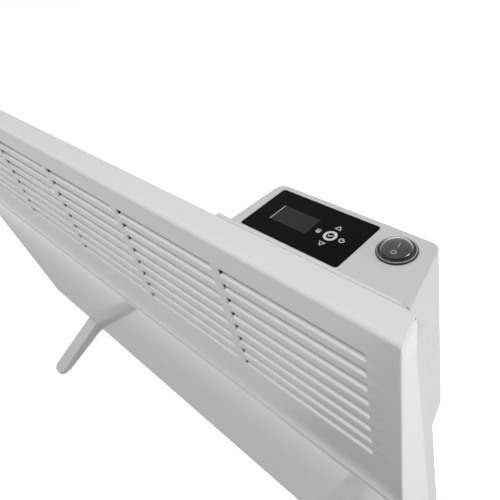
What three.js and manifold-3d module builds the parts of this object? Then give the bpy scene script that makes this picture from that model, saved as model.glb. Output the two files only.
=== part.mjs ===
// A free-standing wall panel convector heater, in millimetres, +Z up, +X to the heater's right
// as seen from its front, and +Y to its back. The origin is on the floor under its middle.
//
// A folded front panel with six groups of pressed louvres closes a folded rear casing, which
// carries a finned element, its heat shield and a cut-out. A moulded control box with a glass
// touch panel and a capped rocker switch hangs on the casing's back at the right-hand end, and
// two arched feet are screwed under the casing.

import * as THREE from 'three';
import { mergeVertices } from 'three/addons/utils/BufferGeometryUtils.js';
import Module from 'manifold-3d';

const wasm = await Module();
wasm.setup();

// ---------------------------------------------------------------- driving dimensions

const fit = 0.3;                  // clearance between pieces that touch
const skin = 0.03;                // step where two folds of one sheet run into each other
const lap = 0.6;                  // how far they overlap
const degree = Math.PI / 180;

const panelWidth = 800;
const floorGap = 46;              // floor to the panel's bottom edge
const casingDepth = 42.5;         // lower front face to the casing's back
const sheet = 1.2;                // folded steel
const lowerRun = 272;             // bottom edge to the crease
const creaseAngle = 2.5 * degree; // lean of the face just above the crease
const faceAngle = 6 * degree;     // lean of the louvred face
const bowRun = 44;                // curved stretch between the crease and the louvred face
const louvreRun = 134;            // straight louvred stretch up to the top corner
const topBend = 3.6;              // outer radius between face and top flange
const edgeBend = 2.4;             // outer radius at the panel's other folds
const flangeDepth = 20.4;         // top flange, front corner to back edge
const hemDrop = 11;               // lip folded down at the flange's back edge
const returnDepth = 11;           // bottom return flange
const sideFlangeBack = 7.5;       // back edge of the side flanges, from the casing's centre plane
const reliefDrop = 8;             // cut at the top rear corner of each side flange

const louvreGroups = 6;
const louvreRows = 8;
const louvreMargin = 22.15;       // panel's end to the first slot
const groupWeb = 8.7;             // metal between two groups
const rowPitch = 13.7;
const firstSlot = 23.6;           // top corner to the first slot
const slotHeight = 7.8;
const slatBend = 1.6;             // radius of the fold at a slat's foot
const slatAngle = 68 * degree;    // how far a slat turns in from the face
const slatRun = 2.6;              // straight stretch of a slat behind its fold
const slatSheet = 0.9;
const slatGap = 0.2;              // slat's ends clear of the slot's

const casingTopGap = 15;          // top corner down to the casing's top
const casingLip = 15;             // casing's top flange
const inletCount = 12;
const inletLength = 46;
const inletWidth = 15;
const inletWeb = 12;              // metal between two inlets
const rearInletFoot = 84;         // row of inlets low in the casing's back
const rearInletHeight = 6;
const hangerSpacing = 420;        // keyhole slots for the wall
const hangerDrop = 88;            // casing's top down to the middle of their round ends
const hangerBore = 11;
const hangerSlot = 5.4;
const wireBore = 22;              // hole between casing and control box
const wireRise = 6;               // its centre above the hangers

const boxEnd = 9.4;               // panel's right end to the control box's right side, in front
const boxWidth = 136.2;           // its width in front
const boxSlant = 12.2;            // how far its right side runs in towards the back
const boxHeight = 171.1;          // top corner down to its underside
const boxDepthTop = 46;           // casing's back to the box's back, at the top
const boxDepthFoot = 41.2;        // and at the foot
const boxWall = 2.2;
const boxTopWall = 4;
const boxSkew = 2.2;              // left side's lean in plan
const boxCorner = 7;
const boxChamfer = 5;
const boxLip = 13;                // bracket's run past the box's left side, behind the flange
const bracketLeg = 2.7;           // width of the bracket that shows behind the flange
const bracketEnd = 5.6;           // its right end short of the box's right side
const bracketDrop = 0.8;          // its top below the flange's top
const bracketCorner = 2.2;        // round at its right rear corner

const glassInset = 8.7;           // box's left side to the touch panel
const glassLength = 78.6;
const glassWidth = 42.7;
const glassFront = 24.7;          // from the top corner along the tilted top
const glassThick = 1.8;
const lcdInset = 13.7;
const lcdLength = 30;
const lcdWidth = 15.4;
const lcdThick = 3.2;
const boardThick = 1.6;

const boardWidth = 92;            // power board
const boardHeight = 90;
const boardLeft = 19.6;           // box's left side to it
const boardFoot = 22;             // box's underside to it
const boardGap = 10.4;            // its back to the box's back at the foot
const boardPostDiameter = 6;
const relaySize = [28, 16, 13];   // width, reach and height
const relayPlace = [2, 10];       // from the board's lower left corner
const transformerSize = [30, 22, 26];
const transformerPlace = [48, 46];
const terminalWays = 3;
const terminalPitch = 14;
const terminalDepth = 15;
const terminalHeight = 14;
const terminalPlace = [38, 6];
const glandX = 42.6;              // box's rear right corner to the cord gland
const glandY = 20.4;              // box's back at the foot to it
const glandBore = 8.4;
const glandShank = 12;
const glandFlange = 18.8;
const glandReach = 20;
const probeX = 29.6;              // box's left side to the room probe
const probeY = 18.4;
const probeDiameter = 5;
const probeReach = 12.8;

const switchInset = 29.2;         // box's right side to the switch's centre
const switchRun = 54.7;           // from the top corner along the tilted top
const switchBore = 20.2;
const bezelDiameter = 24.4;
const bezelHeight = 1.6;
const rockerDiameter = 15;
const rockerTravel = 20 * degree;
const capHeight = 6.4;
const capWall = 0.8;

const casingScrewEnd = 35;        // panel end to the outer screws under the return flange
const casingScrewMiddle = 120;    // heater's middle to the inner ones
const casingScrewInset = 3.2;     // return flange's edge to their centres
const boxScrewLeft = 13.6;        // box's left side to its screws
const boxScrewRight = 6.4;        // box's rear right corner to its screws
const boxScrewFoot = 21;          // box's underside to the lower screws
const boxScrewTop = 34;           // casing's top down to the upper screws
const postDiameter = 7.5;         // moulded screw posts

const elementEndGap = 80;         // panel's end to the element
const elementHeight = 150;        // centre of the element above the floor
const elementSet = 2;             // its centre ahead of the casing's centre plane
const elementCore = 12;
const finReach = 34;
const finSheet = 1.8;
const finLean = 24 * degree;      // each of the crossed fins off the vertical
const ribReaches = [17, 26.5];    // cross ribs, from the element's centre along a fin
const ribWidth = 9;
const ribSheet = 1.4;
const collarDiameter = 16;        // ceramic ends
const collarLength = 6;
const ceramicDiameter = 12.4;
const ceramicLength = 20;
const pinDiameter = 3.4;
const pinLength = 30;
const bracketOffset = 8;          // element's end to its bracket
const bracketHeight = 64;
const bracketNose = 14;           // element's centre to the bracket's front edge
const bracketFoot = 16;           // bracket's foot on the casing's back
const shieldSheet = 0.8;
const shieldGap = 5.5;            // shield to the casing's back
const shieldDrop = 56;            // shield below the element's centre
const shieldRise = 62;            // and above it
const shieldLip = 8;
const standoffDiameter = 12;
const standoffEnd = 30;           // shield's ends to its standoffs
const standoffEdge = 14;          // shield's edges to them
const cutoutX = 60;               // overheat cut-out on the shield's upper lip
const cutoutDiameter = 15;
const cutoutHeight = 7;
const cutoutPlate = 40;
const bladeWidth = 5;
const bladeLength = 8;
const tiltGap = 30;               // bracket to the tilt switch
const tiltWidth = 24;
const tiltDepth = 11;
const tiltFoot = 100;
const tiltHeight = 32;

const footWidth = 26;
const footInset = 134.7;          // panel end to the middle of a foot
const footReach = 122;            // centre to the tip of a prong
const footTip = 7.5;
const footRoot = 20.4;            // depth of the foot under the panel
const archHalf = 26;              // half of the arch's flat crown, front to back
const footWall = 2.6;
const ribPitch = 22.4;            // pockets under a prong and the ribs between them
const pocketStart = 30;
const padThick = 3;
const padDiameter = 13;
const padInset = 11;              // foot's tip to the pad's centre
const footScrewRuns = [-4.5, 14]; // foot screws, from the casing's centre plane
const footScrewFloor = 12;        // foot's seat down to the screw heads

const screwShank = 3.2;
const screwHead = 7;
const screwHeadHeight = 2.2;
const casingScrewLength = 8;
const boxScrewLength = 12;
const footScrewLength = 19;

// ---------------------------------------------------------------- derived planes

const frontY = -casingDepth / 2;
const backY = casingDepth / 2;
const creaseZ = floorGap + lowerRun;
const halfWidth = panelWidth / 2;
const slotLength = (panelWidth - 2 * louvreMargin - (louvreGroups - 1) * groupWeb) / louvreGroups;
const groupPitch = slotLength + groupWeb;
const elementLength = panelWidth - 2 * elementEndGap;
const boxRightFront = halfWidth - boxEnd;
const boxRightBack = boxRightFront - boxSlant;
const boxLeft = boxRightFront - boxWidth;
const boxBackTop = backY + boxDepthTop;
const boxBackFoot = backY + boxDepthFoot;
const glassLeft = boxLeft + glassInset;
const switchX = boxRightFront - switchInset;
const casingHalf = halfWidth - sheet - fit;
const casingFloor = floorGap + sheet + fit;

// ---------------------------------------------------------------- geometry helpers

// Basis that lays a drawing of (Y, Z) points out along X.
const alongX = new THREE.Matrix4().makeBasis(
  new THREE.Vector3(0, 1, 0), new THREE.Vector3(0, 0, 1), new THREE.Vector3(1, 0, 0));

function toSolid(geometry) {
  const bare = geometry.index ? geometry.toNonIndexed() : geometry.clone();
  for (const key of Object.keys(bare.attributes)) {
    if (key !== 'position') bare.deleteAttribute(key);
  }
  const merged = mergeVertices(bare, 1e-4);
  const position = merged.attributes.position;
  const corner = (index) => new THREE.Vector3().fromBufferAttribute(position, index);
  let triangles = [];
  let volume = 0;
  for (let index = 0; index < merged.index.count; index += 3) {
    const [a, b, c] = merged.index.array.slice(index, index + 3);
    if (a !== b && b !== c && c !== a) {
      triangles.push([a, b, c]);
      volume += corner(a).dot(corner(b).cross(corner(c)));
    }
  }
  if (volume < 0) triangles = triangles.map(([a, b, c]) => [a, c, b]);
  return new wasm.Manifold(new wasm.Mesh({
    numProp: 3,
    vertProperties: new Float32Array(position.array),
    triVerts: new Uint32Array(triangles.flat()),
  }));
}

function toGeometry(solid) {
  const mesh = solid.getMesh();
  const geometry = new THREE.BufferGeometry();
  geometry.setAttribute('position', new THREE.BufferAttribute(mesh.vertProperties.slice(), 3));
  geometry.setIndex(new THREE.BufferAttribute(mesh.triVerts.slice(), 1));
  geometry.computeVertexNormals();
  return geometry;
}

function joined(solids) {
  return solids.reduce((whole, one) => whole.add(one));
}

function without(solid, cutters) {
  return cutters.reduce((whole, one) => whole.subtract(one), solid);
}

function shapeOf(points) {
  return new THREE.Shape(points.map(([u, v]) => new THREE.Vector2(u, v)));
}

// A prism of (X, Y) points between two heights.
function prism(points, low, high) {
  const geometry = new THREE.ExtrudeGeometry(shapeOf(points), {
    depth: high - low, bevelEnabled: false, steps: 1 });
  geometry.translate(0, 0, low);
  return toSolid(geometry);
}

// A prism of (Y, Z) points between two X positions.
function bar(points, left, right) {
  const geometry = new THREE.ExtrudeGeometry(shapeOf(points), {
    depth: right - left, bevelEnabled: false, steps: 1 });
  geometry.translate(0, 0, left);
  geometry.applyMatrix4(alongX);
  return toSolid(geometry);
}

function block(x0, x1, y0, y1, z0, z1) {
  const geometry = new THREE.BoxGeometry(x1 - x0, y1 - y0, z1 - z0);
  geometry.translate((x0 + x1) / 2, (y0 + y1) / 2, (z0 + z1) / 2);
  return toSolid(geometry);
}

// A round bar from one height to another, about the Z axis through (x, y).
function post(x, y, low, high, diameter, sides = 20) {
  const geometry = new THREE.CylinderGeometry(diameter / 2, diameter / 2, high - low, sides);
  geometry.rotateX(Math.PI / 2);
  geometry.translate(x, y, (low + high) / 2);
  return toSolid(geometry);
}

// A round bar along Y, about the axis through (x, z).
function peg(x, z, front, back, diameter, sides = 20) {
  const geometry = new THREE.CylinderGeometry(diameter / 2, diameter / 2, back - front, sides);
  geometry.translate(x, (front + back) / 2, z);
  return toSolid(geometry);
}

// A round bar along X, about the axis through (y, z).
function rod(y, z, left, right, diameter, sides = 20) {
  const geometry = new THREE.CylinderGeometry(diameter / 2, diameter / 2, right - left, sides);
  geometry.rotateZ(-Math.PI / 2);
  geometry.translate((left + right) / 2, y, z);
  return toSolid(geometry);
}

// A turned piece about the Z axis, from (radius, height) points. The profile starts and ends
// on the axis, or closes on itself.
function turned(points, sides = 28) {
  const ring = points[0][0] > 0 ? [...points, points[0]] : points;
  const profile = ring.map(([r, z]) => new THREE.Vector2(r, z));
  const geometry = new THREE.LatheGeometry(profile, sides);
  geometry.rotateX(Math.PI / 2);
  return toSolid(geometry);
}

// The points of a path whose inner corners are rounded to the radii given with them.
function rounded(corners, steps = 5) {
  const path = [];
  corners.forEach(([u, v, radius = 0], index) => {
    const here = new THREE.Vector2(u, v);
    if (!radius || index === 0 || index === corners.length - 1) {
      path.push(here);
      return;
    }
    const before = new THREE.Vector2(...corners[index - 1]).sub(here).normalize();
    const after = new THREE.Vector2(...corners[index + 1]).sub(here).normalize();
    const half = Math.acos(THREE.MathUtils.clamp(before.dot(after), -1, 1)) / 2;
    const tangent = radius / Math.tan(half);
    const centre = before.clone().add(after).normalize().multiplyScalar(radius / Math.sin(half));
    centre.add(here);
    const start = here.clone().addScaledVector(before, tangent).sub(centre);
    const end = here.clone().addScaledVector(after, tangent).sub(centre);
    const sweep = Math.atan2(start.cross(end), start.dot(end));
    for (let step = 0; step <= steps; step += 1) {
      path.push(start.clone().rotateAround(new THREE.Vector2(), sweep * step / steps).add(centre));
    }
  });
  return path;
}

// A closed outline with its corners rounded.
function roundedLoop(corners, steps = 5) {
  const last = corners[corners.length - 1];
  const path = rounded([last, ...corners, corners[0]], steps);
  return path.slice(1, -1).map((point) => [point.x, point.y]);
}

function rectangle(x0, x1, y0, y1, radius = 0, steps = 4) {
  return roundedLoop([[x0, y0, radius], [x1, y0, radius], [x1, y1, radius], [x0, y1, radius]], steps);
}

// The path moved sideways: to its left where the distance is positive.
function offsetPath(path, distance) {
  return path.map((point, index) => {
    const normals = [];
    if (index > 0) {
      const into = point.clone().sub(path[index - 1]).normalize();
      normals.push(new THREE.Vector2(-into.y, into.x));
    }
    if (index < path.length - 1) {
      const out = path[index + 1].clone().sub(point).normalize();
      normals.push(new THREE.Vector2(-out.y, out.x));
    }
    const mean = normals.reduce((sum, one) => sum.clone().add(one)).normalize();
    return point.clone().addScaledVector(mean, distance / mean.dot(normals[0]));
  });
}

// The outline of a folded sheet whose outer face follows the path, with its metal to the left.
function folded(path, thickness) {
  const inner = offsetPath(path, thickness);
  return [...path, ...inner.reverse()].map((point) => [point.x, point.y]);
}

// A closed body through rings of points that all have the same count.
function loft(rings) {
  const count = rings[0].length;
  const positions = rings.flat().flatMap((point) => [...point]);
  const index = [];
  for (let ring = 0; ring < rings.length - 1; ring += 1) {
    for (let side = 0; side < count; side += 1) {
      const a = ring * count + side;
      const b = ring * count + (side + 1) % count;
      index.push(a, b, b + count, a, b + count, a + count);
    }
  }
  const cap = (ring, flip) => {
    const flat = rings[ring].map(([x, y]) => new THREE.Vector2(x, y));
    THREE.ShapeUtils.triangulateShape(flat, []).forEach(([a, b, c]) => {
      const start = ring * count;
      index.push(start + a, start + (flip ? c : b), start + (flip ? b : c));
    });
  };
  cap(0, true);
  cap(rings.length - 1, false);
  const geometry = new THREE.BufferGeometry();
  geometry.setAttribute('position', new THREE.Float32BufferAttribute(positions, 3));
  geometry.setIndex(index);
  return toSolid(geometry);
}

// ---------------------------------------------------------------- the front face's section

// Outer face of the panel, bottom to top, as (Y, Z) points.
function facePath() {
  const path = [new THREE.Vector2(frontY, floorGap), new THREE.Vector2(frontY, creaseZ)];
  const steps = 6;
  const here = path[1].clone();
  for (let step = 0; step < steps; step += 1) {
    const lean = creaseAngle + (faceAngle - creaseAngle) * (step + 0.5) / steps;
    here.add(new THREE.Vector2(Math.sin(lean), Math.cos(lean)).multiplyScalar(bowRun / steps));
    path.push(here.clone());
  }
  here.add(new THREE.Vector2(Math.sin(faceAngle), Math.cos(faceAngle)).multiplyScalar(louvreRun));
  path.push(here.clone());
  return path;
}

const facePoints = facePath();
const topCorner = facePoints[facePoints.length - 1];

// Frames on the tilted top: u runs back from the top corner, w stands out of the top.
const topFrame = new THREE.Matrix4()
  .makeTranslation(0, topCorner.x, topCorner.y)
  .multiply(new THREE.Matrix4().makeRotationX(-faceAngle));

function topPoint(run, rise) {
  const point = new THREE.Vector3(0, run, rise).applyMatrix4(topFrame);
  return [point.y, point.z];
}

function onTop(solid) {
  return solid.transform(topFrame.elements);
}

const casingTop = topCorner.y - casingTopGap;
const hangerHeight = casingTop - hangerDrop;
const boxFoot = topCorner.y - boxHeight;

// ---------------------------------------------------------------- front panel

// The slots and slats are drawn in the face's own frame: t runs down from the top corner and
// n into the heater.
function facePoint(down, inward) {
  const y = topCorner.x - down * Math.sin(faceAngle) + inward * Math.cos(faceAngle);
  const z = topCorner.y - down * Math.cos(faceAngle) - inward * Math.sin(faceAngle);
  return [y, z];
}

function slotCutter(left, down) {
  const corners = [facePoint(down, -2), facePoint(down, 2 * sheet),
    facePoint(down + slotHeight, 2 * sheet), facePoint(down + slotHeight, -2)];
  return bar(corners, left, left + slotLength);
}

// A slat grows out of the web under its slot, folds into the heater and slopes up to its
// free edge.
function slat(left, down) {
  const steps = 4;
  const foot = down + slotHeight;
  const spots = [[-lap, 2 * skin]];
  for (let step = 0; step <= steps; step += 1) {
    const turn = slatAngle * step / steps;
    spots.push([slatBend * Math.sin(turn), 2 * skin + slatBend * (1 - Math.cos(turn))]);
  }
  const [rise, inward] = spots[spots.length - 1];
  spots.push([rise + slatRun * Math.cos(slatAngle), inward + slatRun * Math.sin(slatAngle)]);
  const path = spots.map(([up, depth]) => new THREE.Vector2(...facePoint(foot - up, depth)));
  return bar(folded(path.reverse(), slatSheet), left + slatGap, left + slotLength - slatGap);
}

// One folded end, carried up the face: the bend beside the face and the side flange.
function panelEnd() {
  const start = halfWidth - edgeBend - lap;
  const section = folded(rounded([
    [start, skin], [halfWidth, skin, edgeBend], [halfWidth, casingDepth]], 4), sheet - 2 * skin);
  const rings = facePoints.map((point, index) => {
    const before = facePoints[Math.max(index - 1, 0)];
    const after = facePoints[Math.min(index + 1, facePoints.length - 1)];
    const along = after.clone().sub(before).normalize();
    return section.map(([x, inward]) => [x, point.x + inward * along.y, point.y - inward * along.x]);
  });
  const relief = topPoint(flangeDepth - reliefDrop / 2, -sheet / 2);
  const foot = floorGap + edgeBend + lap;
  const bend = topBend + lap;
  const envelope = [
    [frontY - 2, foot], [sideFlangeBack, foot],
    [sideFlangeBack, relief[1] - reliefDrop], relief, topPoint(bend, -sheet / 2),
    facePoint(bend, -1), [frontY - 2, creaseZ + bowRun],
  ];
  return loft(rings).intersect(bar(envelope, start - 1, halfWidth + 1));
}

function frontPanel() {
  const backTop = topPoint(flangeDepth, 0);
  const hemEnd = topPoint(flangeDepth, -hemDrop);
  const bow = facePoints.slice(1, -1).reverse().map((point) => [point.x, point.y]);
  const corner = [topCorner.x, topCorner.y, topBend];
  const middle = bar(folded(rounded([hemEnd, [...backTop, edgeBend], corner, ...bow,
    [frontY, floorGap, edgeBend], [frontY + returnDepth, floorGap]], 5), sheet),
  -halfWidth + edgeBend, halfWidth - edgeBend);
  const flangeBack = topPoint(flangeDepth - edgeBend - lap, 0);
  const flangeLine = offsetPath(rounded([flangeBack, corner, facePoint(2 * topBend, 0)], 5), 2 * skin);
  const flangeEnd = bar(folded(flangeLine, sheet - 4 * skin),
    halfWidth - edgeBend - 2 * lap, halfWidth - skin);
  const end = panelEnd().add(flangeEnd);
  let panel = joined([middle, end, end.mirror([1, 0, 0])]);
  const slots = [];
  const slats = [];
  for (let group = 0; group < louvreGroups; group += 1) {
    const left = (group - (louvreGroups - 1) / 2) * groupPitch - slotLength / 2;
    for (let row = 0; row < louvreRows; row += 1) {
      slots.push(slotCutter(left, firstSlot + row * rowPitch));
      slats.push(slat(left, firstSlot + row * rowPitch));
    }
  }
  panel = without(panel, slots);
  panel = joined([panel, ...slats]);
  return without(panel, casingScrewSpots.map(([x, y]) => (
    post(x, y, floorGap - 1, casingFloor, screwBore, 14))));
}

// ---------------------------------------------------------------- fasteners

// A pan-head screw, its shank pointing down from the underside of its head at the origin.
function screw(length) {
  const head = screwHead / 2;
  const shank = screwShank / 2;
  return turned([[0, screwHeadHeight], [head * 0.6, screwHeadHeight], [head, screwHeadHeight / 2],
    [head, 0], [shank, 0], [shank, 1 - length], [0, -length]], 12);
}

function turnedTo(solid, axis, angle, x, y, z) {
  const matrix = new THREE.Matrix4().makeTranslation(x, y, z)
    .multiply(new THREE.Matrix4().makeRotationAxis(axis, angle));
  return solid.transform(matrix.elements);
}

const xAxis = new THREE.Vector3(1, 0, 0);

// Shank up, head below.
function screwUp(length, x, y, z) {
  return turnedTo(screw(length), xAxis, Math.PI, x, y, z);
}

// Shank towards the back, head in front.
function screwBack(length, x, y, z) {
  return turnedTo(screw(length), xAxis, Math.PI / 2, x, y, z);
}

const screwBore = screwShank + 2 * fit;
const casingScrewY = frontY + returnDepth - casingScrewInset;
const casingScrewSpots = [-halfWidth + casingScrewEnd, -casingScrewMiddle,
  casingScrewMiddle, halfWidth - casingScrewEnd].map((x) => [x, casingScrewY]);
const footSpots = [-halfWidth + footInset, halfWidth - footInset];
const boxScrewXs = [boxLeft + boxScrewLeft, boxRightBack - boxScrewRight];
const boxScrewSpots = [boxFoot + boxScrewFoot, casingTop - boxScrewTop]
  .flatMap((z) => boxScrewXs.map((x) => [x, z]));
const wireSpot = [(boxLeft + boxRightBack) / 2, hangerHeight + wireRise];

// ---------------------------------------------------------------- rear casing

function keyhole(x) {
  const slot = block(x - hangerSlot / 2, x + hangerSlot / 2, backY - 2 * sheet, backY + 1,
    hangerHeight, hangerHeight + hangerBore);
  const round = peg(x, hangerHeight, backY - 2 * sheet, backY + 1, hangerBore);
  return slot.add(round);
}

function rearCasing() {
  const sideFront = frontY + 9;
  const inner = casingHalf - edgeBend;
  const middle = bar(folded(rounded([
    [frontY + 5, casingFloor], [backY, casingFloor, edgeBend], [backY, casingTop, edgeBend],
    [backY - casingLip, casingTop]], 4), sheet), -inner, inner);
  const plan = folded(rounded([
    [casingHalf, sideFront - 1], [casingHalf, backY - skin, edgeBend], [inner - lap, backY - skin]], 4),
  sheet - 2 * skin);
  const outline = [
    [sideFront, casingFloor + skin],
    ...rounded([[0, casingFloor + skin], [backY, casingFloor + skin, edgeBend],
      [backY, casingTop - skin, edgeBend], [0, casingTop - skin]], 4)
      .slice(1, -1).map((point) => [point.x, point.y]),
    [topCorner.x + 8, casingTop - skin],
    [sideFront, creaseZ + 10],
  ];
  const end = prism(plan, casingFloor, casingTop).intersect(bar(outline, 0, halfWidth));
  const casing = joined([middle, end, end.mirror([1, 0, 0])]);

  const cutters = [];
  const pitch = inletLength + inletWeb;
  for (let slot = 0; slot < inletCount; slot += 1) {
    const x = (slot - (inletCount - 1) / 2) * pitch;
    const clearOfFeet = footSpots.every((foot) => Math.abs(x - foot) > (inletLength + footWidth) / 2);
    if (clearOfFeet) {
      cutters.push(prism(rectangle(x - inletLength / 2, x + inletLength / 2,
        -inletWidth / 2 + 4, inletWidth / 2 + 4, 4, 3), casingFloor - 1, casingFloor + 2 * sheet));
    }
    cutters.push(block(x - inletLength / 2, x + inletLength / 2, backY - 2 * sheet, backY + 1,
      rearInletFoot, rearInletFoot + rearInletHeight));
  }
  cutters.push(keyhole(-hangerSpacing / 2), keyhole(hangerSpacing / 2));
  cutters.push(peg(...wireSpot, backY - 3, backY + 1, wireBore));
  boxScrewSpots.forEach(([x, z]) => cutters.push(peg(x, z, backY - 3, backY + 1, screwBore, 12)));
  casingScrewSpots.forEach(([x, y]) => {
    cutters.push(post(x, y, casingFloor - 1, casingFloor + 2, screwBore, 12));
  });
  footSpots.forEach((x) => footScrewRuns.forEach((y) => {
    cutters.push(post(x, y, casingFloor - 1, casingFloor + 2, screwBore, 12));
  }));
  return without(casing, cutters);
}

// ---------------------------------------------------------------- heating parts

const wallFace = backY - sheet - fit;
const elementY = -elementSet;
const shieldBack = backY - sheet - shieldGap;
const shieldLow = elementHeight - shieldDrop;
const shieldHigh = elementHeight + shieldRise;
const bracketX = elementLength / 2 + bracketOffset;

function heatingElement() {
  const half = elementLength / 2;
  const solids = [rod(elementY, elementHeight, -half, half, elementCore, 16)];
  const arm = block(-half, half, -finSheet / 2, finSheet / 2, -finReach, finReach);
  [-finLean, finLean].forEach((angle) => {
    solids.push(turnedTo(arm, xAxis, angle, 0, elementY, elementHeight));
    [-1, 1].forEach((end) => ribReaches.forEach((reach) => {
      const rib = block(-half, half, -ribWidth / 2, ribWidth / 2,
        reach * end - ribSheet / 2, reach * end + ribSheet / 2);
      solids.push(turnedTo(rib, xAxis, angle, 0, elementY, elementHeight));
    }));
  });
  return joined(solids);
}

// A ceramic end with its terminal pin, pointing along +X from the element's end.
function elementEnd(side) {
  const start = elementLength / 2 + fit;
  const end = joined([
    rod(elementY, elementHeight, start, start + collarLength, collarDiameter, 18),
    rod(elementY, elementHeight, start, start + ceramicLength, ceramicDiameter, 18),
    rod(elementY, elementHeight, start, start + pinLength, pinDiameter, 10),
  ]);
  return side > 0 ? end : end.mirror([1, 0, 0]);
}

function elementBracket(side) {
  const low = elementHeight - bracketHeight / 2;
  const high = elementHeight + bracketHeight / 2;
  const plate = block(bracketX, bracketX + sheet, elementY - bracketNose, wallFace, low, high);
  const foot = block(bracketX, bracketX + bracketFoot, wallFace - sheet, wallFace, low, high);
  const hole = rod(elementY, elementHeight, bracketX - 1, bracketX + 2 * sheet,
    ceramicDiameter + 2 * fit, 18);
  const bracket = plate.add(foot).subtract(hole);
  return side > 0 ? bracket : bracket.mirror([1, 0, 0]);
}

function heatShield() {
  const half = bracketX - 2 * bracketOffset;
  const path = rounded([[shieldBack - shieldLip, shieldLow], [shieldBack, shieldLow, 2],
    [shieldBack, shieldHigh, 2], [shieldBack - shieldLip, shieldHigh]], 3);
  const solids = [bar(folded(path, shieldSheet), -half, half)];
  [-half + standoffEnd, half - standoffEnd].forEach((x) => {
    [shieldLow + standoffEdge, shieldHigh - standoffEdge].forEach((z) => {
      solids.push(peg(x, z, shieldBack - shieldSheet / 2, wallFace, standoffDiameter, 14));
    });
  });
  return joined(solids);
}

function overheatCutout() {
  const seat = shieldHigh + fit;
  const y = shieldBack - shieldLip / 2;
  const blades = [-1, 1].map((side) => {
    const x = cutoutX + side * (cutoutDiameter / 2 - 1);
    return block(x - shieldSheet / 2, x + shieldSheet / 2, y - bladeWidth / 2, y + bladeWidth / 2,
      seat + cutoutHeight - 2, seat + cutoutHeight + bladeLength);
  });
  return joined([
    block(cutoutX - cutoutPlate / 2, cutoutX + cutoutPlate / 2, y - shieldLip / 2, y + shieldLip / 2,
      seat, seat + sheet),
    post(cutoutX, y, seat, seat + cutoutHeight, cutoutDiameter, 18),
    ...blades,
  ]);
}

function tiltSwitch() {
  const right = -bracketX - tiltGap + bracketFoot / 2;
  const outline = rectangle(right - tiltWidth, right, wallFace - tiltDepth, wallFace, 2, 3);
  return prism(outline, tiltFoot, tiltFoot + tiltHeight);
}

// ---------------------------------------------------------------- control box

const boxFront = topPoint(flangeDepth, 0)[0] + 2 * fit + sheet;
// The box's plan, drawn in by an inset on its three outer sides.
function boxPlan(front, back, inset) {
  const radius = Math.max(boxCorner - inset, 1);
  const slant = (boxRightFront - boxRightBack) / (boxBackTop - boxFront);
  const right = (y) => boxRightFront - inset - slant * (y - boxFront);
  return roundedLoop([[boxLeft + inset, front], [right(front), front],
    [right(back - inset), back - inset, radius], [boxLeft + boxSkew + inset, back - inset, radius]], 5);
}

function boxLoft(front, inset, foot) {
  const high = topCorner.y + 6;
  const backAt = (z) => boxBackFoot + (boxBackTop - boxBackFoot) * (z - boxFoot) / (topCorner.y - boxFoot);
  const ring = (z, extra) => boxPlan(front, backAt(z), inset + extra).map(([x, y]) => [x, y, z]);
  return loft([ring(foot, boxChamfer), ring(foot + boxChamfer, 0), ring(high, 0)]);
}

// Everything above a plane that lies under the tilted top by some depth.
function aboveTop(depth) {
  return onTop(block(boxLeft - boxWidth, boxRightFront + boxWidth, -2 * casingDepth,
    boxDepthTop + 2 * casingDepth, -depth, boxDepthTop));
}

function glassPlan(grow) {
  return rectangle(glassLeft - grow, glassLeft + glassLength + grow,
    glassFront - grow, glassFront + glassWidth + grow, 2 + grow, 3);
}

const boardTop = -(glassThick + lcdThick + 3 * fit);
const boardPosts = [glassFront + 4, glassFront + glassWidth - 6]
  .flatMap((run) => [glassLeft + 5, glassLeft + glassLength - 5].map((x) => [x, run]));
const powerY = boxBackFoot - boardGap;
const powerX = boxLeft + boardLeft;
const powerZ = boxFoot + boardFoot;
const powerPosts = [powerZ + boardPostDiameter, powerZ + boardHeight - boardPostDiameter]
  .flatMap((z) => [powerX + 2, powerX + boardWidth - 2].map((x) => [x, z]));
const glandSpot = [boxRightFront - glandX, boxBackFoot - glandY];
const probeSpot = [boxLeft + probeX, boxBackFoot - probeY];

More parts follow.
